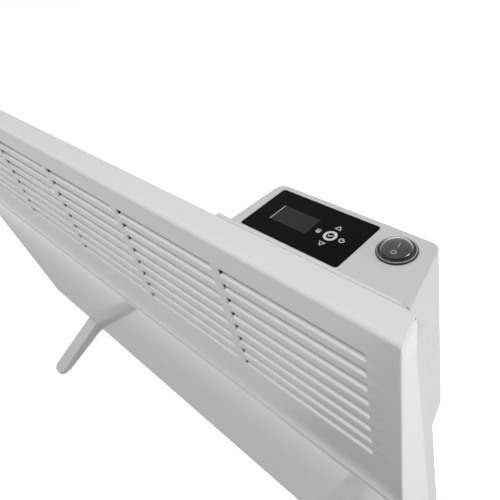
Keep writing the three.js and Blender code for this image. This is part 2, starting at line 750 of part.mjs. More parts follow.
function boxHousing() {
  const outer = boxLoft(boxFront, 0, boxFoot).subtract(aboveTop(0));
  const inner = boxLoft(boxFront + boxWall, boxWall, boxFoot + boxWall).subtract(aboveTop(boxTopWall));
  const ledge = block(boxLeft, boxRightFront, 0, backY + fit + boxWall,
    casingTop - 3, casingTop + fit + boxWall);
  let box = outer.subtract(inner.subtract(ledge));

  const additions = boxScrewSpots.map(([x, z]) => peg(x, z, backY + fit, boxBackTop, postDiameter, 16));
  powerPosts.forEach(([x, z]) => {
    additions.push(peg(x, z, powerY + boardThick + fit, boxBackTop, boardPostDiameter, 12));
  });
  boardPosts.forEach(([x, run]) => {
    additions.push(onTop(post(x, run, boardTop + fit, -boxTopWall + 1, boardPostDiameter - 1, 12)));
  });
  box = box.add(joined(additions).intersect(outer));

  const notch = block(boxLeft - 20, boxRightFront + 5, -20, backY + fit, boxFoot - 5, casingTop + fit);
  const tabSeat = onTop(block(boxLeft - 20, boxRightFront - bracketEnd + fit, flangeDepth,
    flangeDepth + bracketLeg + 2 * fit, -bracketDrop - sheet - fit, 5));
  const glassSeat = onTop(prism(glassPlan(fit), -glassThick - fit, 2));
  const window = onTop(prism(rectangle(glassLeft + 3, glassLeft + glassLength - 3,
    glassFront + 8, glassFront + glassWidth - 9.5, 1.5, 3), -boxTopWall - 2, 0));
  const switchHole = onTop(post(switchX, switchRun, -boxTopWall - 2, 2, switchBore, 28));
  const glandHole = post(...glandSpot, boxFoot - 2, boxFoot + 2 * boxWall, glandShank + 2 * fit, 20);
  const probeHole = post(...probeSpot, boxFoot - 2, boxFoot + 2 * boxWall, probeDiameter + 2 * fit, 14);
  const pilot = boxScrewSpots.map(([x, z]) => peg(x, z, backY - 1, backY + boxScrewLength, screwBore, 12));
  return without(box, [notch, tabSeat, glassSeat, window, switchHole, glandHole, probeHole, ...pilot]);
}

// The folded strip that hooks the box's top to the casing behind the panel's top flange.
function boxBracket() {
  const start = flangeDepth + fit;
  const end = start + bracketLeg;
  const left = boxLeft - boxLip;
  const right = boxRightFront - bracketEnd;
  const top = topPoint(start, -bracketDrop);
  const leg = top[1] - casingTop - fit;
  const path = rounded([topPoint(start, -bracketDrop - leg), [...top, 1.4], topPoint(end, -bracketDrop)], 3);
  const strip = bar(folded(path.reverse(), sheet), left, right);
  const plan = roundedLoop([[left - 1, start - lap], [right + 1, start - lap], [right + 1, start],
    [right, end, bracketCorner], [left - 1, end]], 5);
  return strip.intersect(onTop(prism(plan, -leg - sheet, sheet)))
    .subtract(block(left - 1, halfWidth, start - casingDepth, end + casingDepth,
      casingTop - casingTopGap, casingTop + fit));
}

function touchPanel() {
  return onTop(prism(glassPlan(0), -glassThick, 0));
}

function lcdModule() {
  const top = -glassThick - fit;
  return onTop(prism(rectangle(glassLeft + lcdInset - 2, glassLeft + lcdInset + lcdLength + 2,
    glassFront + lcdInset - 2, glassFront + lcdInset + lcdWidth + 2), top - lcdThick, top));
}

function controlBoard() {
  const plan = rectangle(glassLeft + 1, glassLeft + glassLength - 1,
    glassFront + 1, glassFront + glassWidth - 3, 2, 3);
  return onTop(prism(plan, boardTop - boardThick, boardTop));
}

function powerBoard() {
  return block(powerX, powerX + boardWidth, powerY, powerY + boardThick, powerZ, powerZ + boardHeight);
}

// A block on the power board's face, from its place on the board and its size.
function onPowerBoard([x, z], [width, reach, height]) {
  return block(powerX + x, powerX + x + width, powerY - fit - reach, powerY - fit,
    powerZ + z, powerZ + z + height);
}

// Each way has a tower with a wire entry that opens at its underside.
function terminalBlock() {
  const [x, z] = terminalPlace;
  const solids = [onPowerBoard([x, z], [terminalWays * terminalPitch, terminalDepth - 6, terminalHeight])];
  const mouths = [];
  for (let way = 0; way < terminalWays; way += 1) {
    const left = x + way * terminalPitch;
    solids.push(onPowerBoard([left + 1, z + 1], [terminalPitch - 2, terminalDepth, terminalHeight - 2]));
    mouths.push(post(powerX + left + terminalPitch / 2, powerY - fit - 0.6 * terminalDepth,
      powerZ + z - 1, powerZ + z + terminalHeight - 4, 4.4, 10));
  }
  return without(joined(solids), mouths);
}

function cableGland() {
  const shank = glandShank / 2;
  const flange = glandFlange / 2;
  const bore = glandBore / 2;
  const gland = turned([[shank, 3 * boxWall], [shank, -fit], [flange, -fit], [flange, -6],
    [flange - 2, -8], [bore + 2, -glandReach], [bore, -glandReach], [bore, 3 * boxWall]], 20);
  return gland.translate([...glandSpot, boxFoot]);
}

function roomProbe() {
  const radius = probeDiameter / 2;
  const seat = boxWall + fit;
  const probe = turned([[0, 3 * boxWall], [radius + 1.5, 3 * boxWall], [radius + 1.5, seat],
    [radius, seat], [radius, 3 - probeReach], [radius - 0.9, 0.4 - probeReach], [0, -probeReach]], 14);
  return probe.translate([...probeSpot, boxFoot]);
}

// ---------------------------------------------------------------- rocker switch

const pivotRise = -1;
const flangeTop = fit + bezelHeight;
const switchPoint = topPoint(switchRun, pivotRise);

function atSwitch(solid) {
  return onTop(solid.translate([switchX, switchRun, 0]));
}

function switchBody() {
  const outer = switchBore / 2 - fit;
  const cup = rockerDiameter / 2 + 0.9;
  const body = turned([[0, -22], [outer, -22], [outer, fit], [bezelDiameter / 2, fit],
    [bezelDiameter / 2, flangeTop - 0.5], [bezelDiameter / 2 - 0.5, flangeTop], [cup, flangeTop],
    [cup, -7], [0, -7]], 32);
  const bearing = block(-cup - 1, cup + 1, -1.5, 1.5, pivotRise - 1.5, pivotRise + 1.5);
  const blades = [-5, 5].map((x) => block(x - 2.4, x + 2.4, -0.4, 0.4, -31, -21.5));
  return atSwitch(joined([body.subtract(bearing), ...blades]));
}

// The rocker in its off position, with its front edge pressed down.
function switchRocker() {
  const half = rockerDiameter / 2;
  const profile = [[-half, 3.8], [0, 2.6], [half, 3.8], [half * 0.9, -3], [0, -4.4], [-half * 0.9, -3]];
  const rocker = bar(profile, -half, half).intersect(post(0, 0, -5, 5, rockerDiameter, 28));
  const axle = rod(0, 0, -half - 1.4, half + 1.4, 2, 12);
  const tilted = turnedTo(rocker.add(axle), xAxis, rockerTravel / 2, 0, 0, pivotRise);
  return atSwitch(tilted);
}

function capRing() {
  const seat = flangeTop + fit;
  const outer = bezelDiameter / 2 - 0.4;
  return atSwitch(turned([[outer - 1.7, seat], [outer, seat], [outer, seat + 0.6],
    [outer - 0.6, seat + 1.2], [outer - 1.7, seat + 1.2]], 32));
}

function switchCap() {
  const seat = flangeTop + fit;
  const outer = bezelDiameter / 2 - 2.4;
  const rise = capHeight - seat;
  const steps = 6;
  const arc = (radius, height, start) => Array.from({ length: steps + 1 }, (_, step) => {
    const angle = Math.PI / 2 * step / steps;
    return [radius * Math.cos(angle), start + height * Math.sin(angle)];
  });
  const dome = arc(outer, rise - capWall, seat + capWall);
  const hollow = arc(outer - capWall, rise - 2 * capWall, seat + capWall).reverse();
  return atSwitch(turned([...dome.slice(0, -1), [0, capHeight], [0, capHeight - capWall],
    ...hollow.slice(1), [outer - capWall, seat], [outer, seat]], 28));
}

// ---------------------------------------------------------------- feet

function footSolid(x) {
  const seat = floorGap - fit;
  const under = padThick + fit;
  const tread = 2 * padInset - 2;
  const outline = roundedLoop([
    [-footReach, under, 2], [-footReach + tread, under], [-archHalf, seat - footRoot, 10],
    [archHalf, seat - footRoot, 10], [footReach - tread, under], [footReach, under, 2],
    [footReach, under + footTip - 2, 3], [backY, seat, 5], [frontY, seat, 5],
    [-footReach, under + footTip - 2, 3]], 4);
  const boss = [[frontY + returnDepth + fit, seat - 2], [backY - 1, seat - 2],
    [backY - 1, casingFloor - fit], [frontY + returnDepth + fit, casingFloor - fit]];
  const half = footWidth / 2;
  const plan = rectangle(-half, half, -footReach, footReach, half - 1.5, 7);
  let foot = bar(outline, -half, half).intersect(prism(plan, 0, floorGap));
  foot = foot.add(bar(boss, -half + 1, half - 1));

  const slope = (seat - under - footTip) / (footReach + frontY);
  const roof = (y) => seat - (Math.abs(y) + frontY) * slope - footWall;
  const pockets = [];
  [-1, 1].forEach((side) => [0, 1, 2].forEach((pocket) => {
    const near = pocketStart + pocket * ribPitch;
    const far = near + ribPitch - footWall;
    const corners = [[side * near, 0], [side * far, 0], [side * far, roof(far)], [side * near, roof(near)]];
    pockets.push(bar(corners, -half + footWall, half - footWall));
  }));
  footScrewRuns.forEach((y) => {
    pockets.push(post(0, y, 0, seat - footScrewFloor, screwHead + 4 * fit, 16));
    pockets.push(post(0, y, 0, casingFloor, screwBore, 12));
  });
  return without(foot, pockets).translate([x, 0, 0]);
}

function footPad(x, y) {
  return turned([[0, 0], [padDiameter / 2 - 0.6, 0], [padDiameter / 2, 0.6], [padDiameter / 2, padThick],
    [0, padThick]], 20).translate([x, y, 0]);
}

// ---------------------------------------------------------------- materials

function finish(colour, roughness, metalness = 0) {
  return new THREE.MeshStandardMaterial({ color: colour, roughness, metalness });
}

const whitePaint = finish(0xe9e9e7, 0.32);
const whitePlastic = finish(0xe3e3e1, 0.45);
const galvanised = finish(0xb4b8ba, 0.4, 0.9);
const aluminium = finish(0xc9cccd, 0.35, 0.95);
const ceramic = finish(0xe6dfcf, 0.6);
const blackGlass = finish(0x121212, 0.08);
const smokedPlastic = finish(0x2e2e2e, 0.3);
const darkPlastic = finish(0x262626, 0.45);
const clearPlastic = finish(0xdfe4e6, 0.08);
const circuitGreen = finish(0x1d5a36, 0.5);
const rubber = finish(0x1c1c1c, 0.85);
const steel = finish(0xa8abad, 0.35, 0.9);

// ---------------------------------------------------------------- assembly

const heater = new THREE.Group();

function place(name, solid, material) {
  const mesh = new THREE.Mesh(toGeometry(solid), material);
  mesh.name = name;
  heater.add(mesh);
}

place('front_panel', frontPanel(), whitePaint);
place('rear_casing', rearCasing(), whitePaint);
place('heat_shield', heatShield(), galvanised);
place('heating_element', heatingElement(), aluminium);
place('element_end_left', elementEnd(-1), ceramic);
place('element_end_right', elementEnd(1), ceramic);
place('element_bracket_left', elementBracket(-1), galvanised);
place('element_bracket_right', elementBracket(1), galvanised);
place('overheat_cutout', overheatCutout(), darkPlastic);
place('tilt_switch', tiltSwitch(), darkPlastic);

place('box_housing', boxHousing(), whitePlastic);
place('box_bracket', boxBracket(), whitePaint);
place('touch_panel', touchPanel(), blackGlass);
place('lcd_module', lcdModule(), smokedPlastic);
place('control_board', controlBoard(), circuitGreen);
place('power_board', powerBoard(), circuitGreen);
place('relay', onPowerBoard(relayPlace, relaySize), darkPlastic);
place('transformer', onPowerBoard(transformerPlace, transformerSize), darkPlastic);
place('terminal_block', terminalBlock(), whitePlastic);
place('cable_gland', cableGland(), whitePlastic);
place('room_probe', roomProbe(), whitePlastic);

place('switch_body', switchBody(), darkPlastic);
place('switch_rocker', switchRocker(), smokedPlastic);
place('switch_ring', capRing(), steel);
place('switch_cap', switchCap(), clearPlastic);

['left', 'right'].forEach((side, index) => {
  const x = footSpots[index];
  place(`foot_${side}`, footSolid(x), whitePlastic);
  const seat = floorGap - footScrewFloor - 2 * fit;
  ['front', 'rear'].forEach((end, run) => {
    const y = (run ? 1 : -1) * (footReach - padInset);
    place(`foot_pad_${side}_${end}`, footPad(x, y), rubber);
    place(`foot_screw_${side}_${end}`, screwUp(footScrewLength, x, footScrewRuns[run], seat), steel);
  });
});
casingScrewSpots.forEach(([x, y], index) => {
  place(`casing_screw_${index + 1}`, screwUp(casingScrewLength, x, y, floorGap - fit), steel);
});
boxScrewSpots.forEach(([x, z], index) => {
  place(`box_screw_${index + 1}`, screwBack(boxScrewLength, x, wallFace, z), steel);
});

export default heater;
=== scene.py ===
import math

import bmesh
import bpy
import numpy as np
from mathutils import Matrix, Vector


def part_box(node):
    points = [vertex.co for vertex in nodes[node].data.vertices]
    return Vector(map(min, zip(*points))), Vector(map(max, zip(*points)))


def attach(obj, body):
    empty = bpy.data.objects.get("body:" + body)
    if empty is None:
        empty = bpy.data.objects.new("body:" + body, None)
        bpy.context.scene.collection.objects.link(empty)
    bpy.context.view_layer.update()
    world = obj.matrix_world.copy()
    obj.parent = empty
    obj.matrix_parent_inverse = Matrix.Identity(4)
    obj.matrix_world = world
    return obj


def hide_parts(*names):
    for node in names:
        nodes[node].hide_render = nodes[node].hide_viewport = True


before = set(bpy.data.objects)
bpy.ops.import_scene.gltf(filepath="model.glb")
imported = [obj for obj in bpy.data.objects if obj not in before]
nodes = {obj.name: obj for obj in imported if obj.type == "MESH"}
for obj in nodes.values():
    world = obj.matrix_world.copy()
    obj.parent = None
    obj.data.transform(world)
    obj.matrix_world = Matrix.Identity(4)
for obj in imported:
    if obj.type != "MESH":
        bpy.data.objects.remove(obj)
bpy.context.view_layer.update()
mm = 0.001
panelLow, panelHigh = (np.array(corner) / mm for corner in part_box("front_panel"))
casingHigh = np.array(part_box("rear_casing")[1]) / mm
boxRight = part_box("box_housing")[1][0] / mm
halfWidth, frontY, floorGap = panelHigh[0], panelLow[1], panelLow[2]


# The camera stands in front of the heater's right end and looks down on it. Its place is in
# millimetres from the floor point under the heater's middle, and clip in metres.
cameraSetup = {
    "place": (493.0, -120.6, 714.0),
    "right": (0.68963, 0.677179, -0.256590),
    "ahead": (-0.62895, 0.384485, -0.675711),
    "lens": 38.53,
    "sensor": 36.0,
    "clip": (0.02, 60),
}


def makeCamera():
    camera = bpy.data.objects.new("Camera", bpy.data.cameras.new("Camera"))
    bpy.context.scene.collection.objects.link(camera)
    bpy.context.scene.camera = camera
    right = Vector(cameraSetup["right"]).normalized()
    ahead = Vector(cameraSetup["ahead"]).normalized()
    turn = Matrix((right, right.cross(ahead), -ahead)).transposed().to_4x4()
    camera.matrix_world = Matrix.Translation(Vector(cameraSetup["place"]) * mm) @ turn
    camera.data.sensor_width = cameraSetup["sensor"]
    camera.data.lens = cameraSetup["lens"]
    camera.data.clip_start, camera.data.clip_end = cameraSetup["clip"]


makeCamera()
print("camera placed")


# Each finish has a base colour, a roughness, and a grain size in points per metre. mottle is
# how far the colour wanders, and specular how strongly it mirrors, 0.5 being the plain value.
finishes = {
    "white_powder_coat": dict(colour=(0.79, 0.79, 0.79), roughness=0.1, grain=1600, bump=0.02,
                              mottle=0.008),
    "white_moulded_plastic": dict(colour=(0.63, 0.63, 0.63), roughness=0.42, grain=2600, bump=0.1,
                                  mottle=0.01),
    "lid_paint": dict(colour=(0.66, 0.66, 0.66), roughness=0.8, grain=1600, bump=0.02,
                      specular=0.05),
    "strip_paint": dict(colour=(0.74, 0.74, 0.74), roughness=0.42, grain=1600, bump=0.02),
    "white_foot_plastic": dict(colour=(0.77, 0.77, 0.77), roughness=0.36, grain=2200, bump=0.08,
                               mottle=0.012),
    "black_glass": dict(colour=(0.0035, 0.0035, 0.0035), roughness=0.1, grain=60, mottle=0.05,
                        specular=0.03),
    "display_window": dict(colour=(0.025, 0.025, 0.025), roughness=0.2, grain=60, mottle=0.08,
                           specular=0.08),
    "icon_ink": dict(colour=(0.62, 0.62, 0.62), roughness=0.5, grain=3000, bump=0.05),
    "switch_mark_ink": dict(colour=(0.7, 0.7, 0.7), roughness=0.5, grain=3000, bump=0.05),
    "switch_bezel": dict(colour=(0.015, 0.015, 0.015), roughness=0.25, grain=1500, bump=0.05,
                         mottle=0.1, specular=0.35),
    # The rim wire's light grey is a painted highlight: the bright line at the clear cap's edge.
    "switch_rim_painted_highlight": dict(colour=(0.42, 0.42, 0.42), roughness=0.2, grain=1500, mottle=0.05),
    "switch_rocker": dict(colour=(0.022, 0.022, 0.022), roughness=0.5, grain=2400, bump=0.15,
                          mottle=0.1, specular=0.15),
    "dark_plastic": dict(colour=(0.03, 0.03, 0.03), roughness=0.45, grain=2000, bump=0.2,
                         mottle=0.1),
    "galvanised_sheet": dict(colour=(0.5, 0.52, 0.53), roughness=0.42, grain=90, bump=0.1,
                             mottle=0.14, metallic=0.9),
    "ceramic": dict(colour=(0.8, 0.76, 0.68), roughness=0.55, grain=900, bump=0.25, mottle=0.06),
    "circuit_board": dict(colour=(0.02, 0.12, 0.05), roughness=0.45, grain=260, bump=0.3,
                          mottle=0.35),
    "pad_rubber": dict(colour=(0.02, 0.02, 0.02), roughness=0.75, grain=1500, bump=0.5, mottle=0.2),
    # The sheet's inner side is painted dark: painted shade for the unlit inside of the heater.
    "inner_painted_shade": dict(colour=(0.09, 0.09, 0.09), roughness=0.6, grain=900, bump=0.1, mottle=0.1),
    # Rolled and drawn metal has fine lines along X, from noise that is stretched that way.
    "fin_aluminium": dict(colour=(0.6, 0.61, 0.62), roughness=0.35, grain=500, bump=0.1,
                          metallic=0.9, stretch=(0.03, 1, 1)),
    "plated_steel": dict(colour=(0.62, 0.63, 0.64), roughness=0.3, grain=500, bump=0.1,
                         metallic=0.9, stretch=(0.03, 1, 1)),
}
# What all finishes share: the colour wanders over wide patches, and roughness over the grain.
grainSetup = {"detail": 2.5, "patches": 9, "roughSpread": 0.08, "bumpDepth": 0.0001}
# The casing is white outside, a little darker than the panel's white, and its inner faces get the
# dark painted shade of the unlit inside. A face that looks back towards this middle place, with
# depth counting more than width and height, is an inner one.
casingCoat = {"colour": (0.665, 0.665, 0.66), "middle": (0, 0, 0.28), "weights": (1, 12, 1.6)}
clearPlastic = {"colour": (0.93, 0.94, 0.94), "ior": 1.4, "roughness": 0.03, "roughSpread": 0.5,
                "grain": 300}


def newMaterial(name):
    material = bpy.data.materials.new(name)
    material.use_nodes = True
    tree = material.node_tree
    return material, tree, tree.nodes["Principled BSDF"]


def objectNoise(tree, scale, stretch=(1, 1, 1)):
    place = tree.nodes.new("ShaderNodeTexCoord")
    squeeze = tree.nodes.new("ShaderNodeMapping")
    squeeze.inputs["Scale"].default_value = stretch
    noise = tree.nodes.new("ShaderNodeTexNoise")
    noise.inputs["Scale"].default_value = scale
    noise.inputs["Detail"].default_value = grainSetup["detail"]
    tree.links.new(place.outputs["Object"], squeeze.inputs["Vector"])
    tree.links.new(squeeze.outputs["Vector"], noise.inputs["Vector"])
    return noise.outputs["Fac"]


def varied(tree, source, target, middle, spread):
    rescale = tree.nodes.new("ShaderNodeMapRange")
    rescale.inputs["To Min"].default_value = middle * (1 - spread)
    rescale.inputs["To Max"].default_value = middle * (1 + spread)
    tree.links.new(source, rescale.inputs["Value"])
    tree.links.new(rescale.outputs["Result"], target)


def mathNode(tree, operation, *sources, kind="ShaderNodeMath"):
    # The sources are other nodes' outputs or plain values, in the order of the inputs.
    node = tree.nodes.new(kind)
    node.operation = operation
    for spot, source in enumerate(sources):
        if isinstance(source, bpy.types.NodeSocket):
            tree.links.new(source, node.inputs[spot])
        else:
            node.inputs[spot].default_value = source
    return node


def addBump(tree, shader, source, strength):
    bump = tree.nodes.new("ShaderNodeBump")
    bump.inputs["Distance"].default_value = grainSetup["bumpDepth"]
    bump.inputs["Strength"].default_value = strength
    tree.links.new(source, bump.inputs["Height"])
    tree.links.new(bump.outputs["Normal"], shader.inputs["Normal"])


def makeFinish(name, colour, roughness, grain, bump=0.0, mottle=0.02, metallic=0.0, specular=0.5,
               stretch=(1, 1, 1)):
    # Colour and roughness wander a little over the surface, and a fine grain lifts it.
    material, tree, shader = newMaterial(name)
    shader.inputs["Metallic"].default_value = metallic
    shader.inputs["Specular IOR Level"].default_value = specular
    blend = tree.nodes.new("ShaderNodeMixRGB")
    blend.name = "Colour"
    blend.inputs["Color1"].default_value = (*[c * (1 - mottle) for c in colour], 1)
    blend.inputs["Color2"].default_value = (*[min(c * (1 + mottle), 1) for c in colour], 1)
    tree.links.new(objectNoise(tree, grainSetup["patches"]), blend.inputs["Fac"])
    tree.links.new(blend.outputs["Color"], shader.inputs["Base Color"])
    fine = objectNoise(tree, grain, stretch)
    varied(tree, fine, shader.inputs["Roughness"], roughness, grainSetup["roughSpread"])
    if bump:
        addBump(tree, shader, fine, bump)
    return material


def makeCasingCoat():
    finish = dict(finishes["white_powder_coat"], colour=casingCoat["colour"])
    material = makeFinish("casing_coat", **finish)
    tree = material.node_tree
    place = tree.nodes.new("ShaderNodeTexCoord")
    vector = "ShaderNodeVectorMath"
    centre = mathNode(tree, "SUBTRACT", place.outputs["Object"], casingCoat["middle"], kind=vector)
    flatten = mathNode(tree, "MULTIPLY", centre.outputs["Vector"], casingCoat["weights"],
                       kind=vector)
    outward = mathNode(tree, "DOT_PRODUCT", flatten.outputs["Vector"], place.outputs["Normal"],
                       kind=vector)
    # Faces that look inwards get the dark painted shade instead of the white.
    inside = mathNode(tree, "LESS_THAN", outward.outputs["Value"], 0.0)
    mix = tree.nodes.new("ShaderNodeMixRGB")
    mix.inputs["Color2"].default_value = (*finishes["inner_painted_shade"]["colour"], 1)
    tree.links.new(inside.outputs["Value"], mix.inputs["Fac"])
    tree.links.new(tree.nodes["Colour"].outputs["Color"], mix.inputs["Color1"])
    tree.links.new(mix.outputs["Color"], tree.nodes["Principled BSDF"].inputs["Base Color"])
    return material


def makeClear():
    material, tree, shader = newMaterial("clear_plastic")
    shader.inputs["Base Color"].default_value = (*clearPlastic["colour"], 1)
    shader.inputs["Transmission Weight"].default_value = 1.0
    shader.inputs["IOR"].default_value = clearPlastic["ior"]
    varied(tree, objectNoise(tree, clearPlastic["grain"]), shader.inputs["Roughness"],
           clearPlastic["roughness"], clearPlastic["roughSpread"])
    return material


materials = {name: makeFinish(name, **finish) for name, finish in finishes.items()}
materials["casing_coat"] = makeCasingCoat()
materials["clear_plastic"] = makeClear()
print("materials made:", len(materials))


# Angles are in degrees, and points of a piece closer than joinDistance (in mm) become one.
# turnedSides is how many sides a turned piece has.
edgeSetup = {"smoothAngle": 35, "bevelAngle": 40, "segments": 2, "flatAngle": 0.4,
             "joinDistance": 0.004, "turnedSides": 96}


def smoothGroup():
    # Shades everything smooth, apart from edges that turn by more than the angle.
    group = bpy.data.node_groups.new("ShadeByAngle", "GeometryNodeTree")
    group.interface.new_socket("Geometry", in_out="INPUT", socket_type="NodeSocketGeometry")
    group.interface.new_socket("Geometry", in_out="OUTPUT", socket_type="NodeSocketGeometry")
    source = group.nodes.new("NodeGroupInput")
    result = group.nodes.new("NodeGroupOutput")
    allSmooth = group.nodes.new("GeometryNodeSetShadeSmooth")
    allSmooth.domain = "FACE"
    sharp = group.nodes.new("GeometryNodeSetShadeSmooth")
    sharp.domain = "EDGE"
    sharp.inputs["Shade Smooth"].default_value = False
    angle = group.nodes.new("GeometryNodeInputMeshEdgeAngle")
    compare = group.nodes.new("FunctionNodeCompare")
    compare.data_type = "FLOAT"
    compare.operation = "GREATER_THAN"
    compare.inputs["B"].default_value = math.radians(edgeSetup["smoothAngle"])
    group.links.new(source.outputs[0], allSmooth.inputs["Geometry"])
    group.links.new(allSmooth.outputs["Geometry"], sharp.inputs["Geometry"])
    group.links.new(angle.outputs["Unsigned Angle"], compare.inputs["A"])
    group.links.new(compare.outputs["Result"], sharp.inputs["Selection"])
    group.links.new(sharp.outputs["Geometry"], result.inputs[0])
    return group


shadeByAngle = smoothGroup()


def finishEdges(thing, bevel, limit=edgeSetup["bevelAngle"]):
    if bevel:
        edges = thing.modifiers.new("Edges", "BEVEL")
        edges.width = bevel * mm
        edges.segments = edgeSetup["segments"]
        edges.limit_method = "ANGLE"
        edges.angle_limit = math.radians(limit)
    shade = thing.modifiers.new("Shade", "NODES")
    shade.node_group = shadeByAngle


def thicken(piece, thickness):
    # The wall goes in from the surface, which stays the outer face.
    wall = piece.modifiers.new("Sheet", "SOLIDIFY")
    wall.thickness = thickness * mm
    wall.offset = -1
    return wall


def newPiece(name, points, faces, finish, body="heater", replaced=()):
    # points is an array of places in millimetres, and faces holds rows of point numbers.
    mesh = bpy.data.meshes.new(name)
    mesh.from_pydata((np.asarray(points, float) * mm).tolist(), [], faces)
    joined = bmesh.new()
    joined.from_mesh(mesh)
    bmesh.ops.remove_doubles(joined, verts=joined.verts, dist=edgeSetup["joinDistance"] * mm)
    bmesh.ops.delete(joined, geom=[v for v in joined.verts if not v.link_faces], context="VERTS")
    joined.to_mesh(mesh)
    joined.free()
    mesh.materials.append(materials[finish])
    piece = bpy.data.objects.new(name, mesh)
    bpy.context.scene.collection.objects.link(piece)
    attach(piece, body)
    if replaced:
        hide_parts(*replaced)
    return piece


def gridQuads(rows, columns, start=0):
    # The four corners of every cell of a grid, whose points are numbered row by row.
    first = start + np.arange(rows - 1)[:, None] * columns + np.arange(columns - 1)
    return np.stack([first, first + columns, first + columns + 1, first + 1], -1).reshape(-1, 4)


def arc(centre, radius, start, end, steps):
    # Points on a circle from one angle to another, in degrees.
    angle = np.radians(np.linspace(start, end, steps + 1))
    return np.stack([centre[0] + radius * np.cos(angle), centre[1] + radius * np.sin(angle)], -1)


def quarterTurn(count):
    # Angles spread evenly from nothing to a right angle.
    return np.radians(np.linspace(0, 90, count))


def distinct(*groups):
    # All the values in rising order, and those that only rounding sets apart just once.
    return np.unique(np.round(np.concatenate(groups), 4))


def placed(points, place):
    # The points turned as the place is, and then moved to it.
    turn = np.array(place.to_3x3())
    return np.asarray(points, float) @ turn.T + np.array(place.translation)


def turnedPiece(name, profile, place, finish, replaced):
    # A profile of (radius, height) points swept once round the upright axis of its place.
    sides, profile = edgeSetup["turnedSides"], np.asarray(profile, float)
    angle = np.linspace(0, 2 * np.pi, sides + 1)[:, None]
    ring = np.stack([profile[:, 0] * np.cos(angle), profile[:, 0] * np.sin(angle),
                     np.broadcast_to(profile[:, 1], (sides + 1, len(profile)))], -1)
    points = placed(ring.reshape(-1, 3), place)
    faces = gridQuads(sides + 1, len(profile)).tolist()
    finishEdges(newPiece(name, points, faces, finish, replaced=replaced), 0)


def platePiece(name, outlines, place, low, high, finish, slot, body="heater"):
    # Thin plates: each outline is an outer loop of (x, y) points, and perhaps an inner one of
    # as many points, drawn out from one height to the other.
    points, faces, start = [], [], 0
    for outer, inner in outlines:
        count = len(outer)
        loops = [np.asarray(loop, float) for loop in (outer, inner) if loop is not None]
        for loop in loops:
            for height in (low, high):
                points.append(np.column_stack([loop, np.full(count, height)]))
        here = start + np.arange(count)
        after = start + (np.arange(count) + 1) % count
        faces += np.stack([here, after, after + count, here + count], -1).tolist()
        if inner is None:
            faces += [(here + count).tolist(), here[::-1].tolist()]
        else:
            hole, holeAfter = here + 2 * count, after + 2 * count
            for ring in ([holeAfter, hole, hole + count, holeAfter + count],
                         [here + count, after + count, holeAfter + count, hole + count],
                         [after, here, hole, holeAfter]):
                faces += np.stack(ring, -1).tolist()
        start += 2 * count * len(loops)
    return newPiece(name, placed(np.concatenate(points), place), faces, finish, body)


# The folded front panel, in millimetres and degrees. Runs along its face are measured down
# from its top corner, and depths ("inward") square to the face. The side bends start sharp
# under the top corner and reach their full radius over sideEase. The side flanges' rows spread
# evenly from the top flange down to evenBelow, and stay level further down. rowsAbove are extra
# rows of the face by their runs, rowsBelow by their shares of the lower face, and creaseRows by
# their shares of the crease's width. Points and steps say how finely each bend is made, and a
# point within atEnd of the heater's end is a side flange's.
panel = {
    "faceLean": 6.0, "creaseLean": 2.5,
    "louvreRun": 134.0, "bowRun": 44.0, "lowerRun": 272.0,
    "bowSteps": 24, "bowRows": 12, "easeShare": 1 / 3,
    "sheet": 1.2, "topBend": 3.6, "rearBend": 1.5, "sideBend": 1.7, "footBend": 2.4,
    "topSideBend": 0.5, "sideEase": 9.0, "evenBelow": 12.0, "sideBendPoints": 7,
    "topSteps": 10, "footSteps": 6, "hemTurn": (-15, -90), "hemSteps": 5,
    "flangeDepth": 21.6, "hemDrop": 11.0, "hemStraight": 2.0, "returnDepth": 11.0,
    "flangeRows": (14.0, 6.6),
    "sideBack": 7.3, "sideGap": 1.3, "sideColumns": 16, "firstColumn": 0.04, "atEnd": 0.01,
    "endTaper": 0.25, "taperStart": 1.7, "taperHold": 5.0, "taperDrop": 16.0,
    "reliefStart": 18.4, "reliefDrop": 5.6, "reliefTrim": 0.3, "reliefCurve": 0.6,
    "creaseWidth": 2.6, "creaseDepth": 0.55, "creaseRows": (-0.5, -0.25, 0, 0.25, 0.5),
    "edge": 0.25, "edgeAngle": 50,
    "rowsAbove": (5, 6.5, 8, 10, 12, 15, 18), "rowsBelow": (0.03, 0.1, 0.3, 0.5, 0.7, 0.9),
    "groups": 6, "rows": 8, "margin": 22.15, "web": 8.7,
    "rowPitch": 13.7, "firstSlot": 23.6, "slotHeight": 7.8,
    "slatBend": 1.6, "slatAngle": 68.0, "slatRun": 2.6, "slatSlant": 0.9, "slatPoints": 8,
}
faceRun = panel["louvreRun"] + panel["bowRun"] + panel["lowerRun"]
creaseRun = panel["louvreRun"] + panel["bowRun"]
louvreWidth = 2 * halfWidth - 2 * panel["margin"] - (panel["groups"] - 1) * panel["web"]
slotLength = louvreWidth / panel["groups"]
slotLefts = -halfWidth + panel["margin"] + np.arange(panel["groups"]) * (slotLength + panel["web"])
slotTops = panel["firstSlot"] + np.arange(panel["rows"]) * panel["rowPitch"]


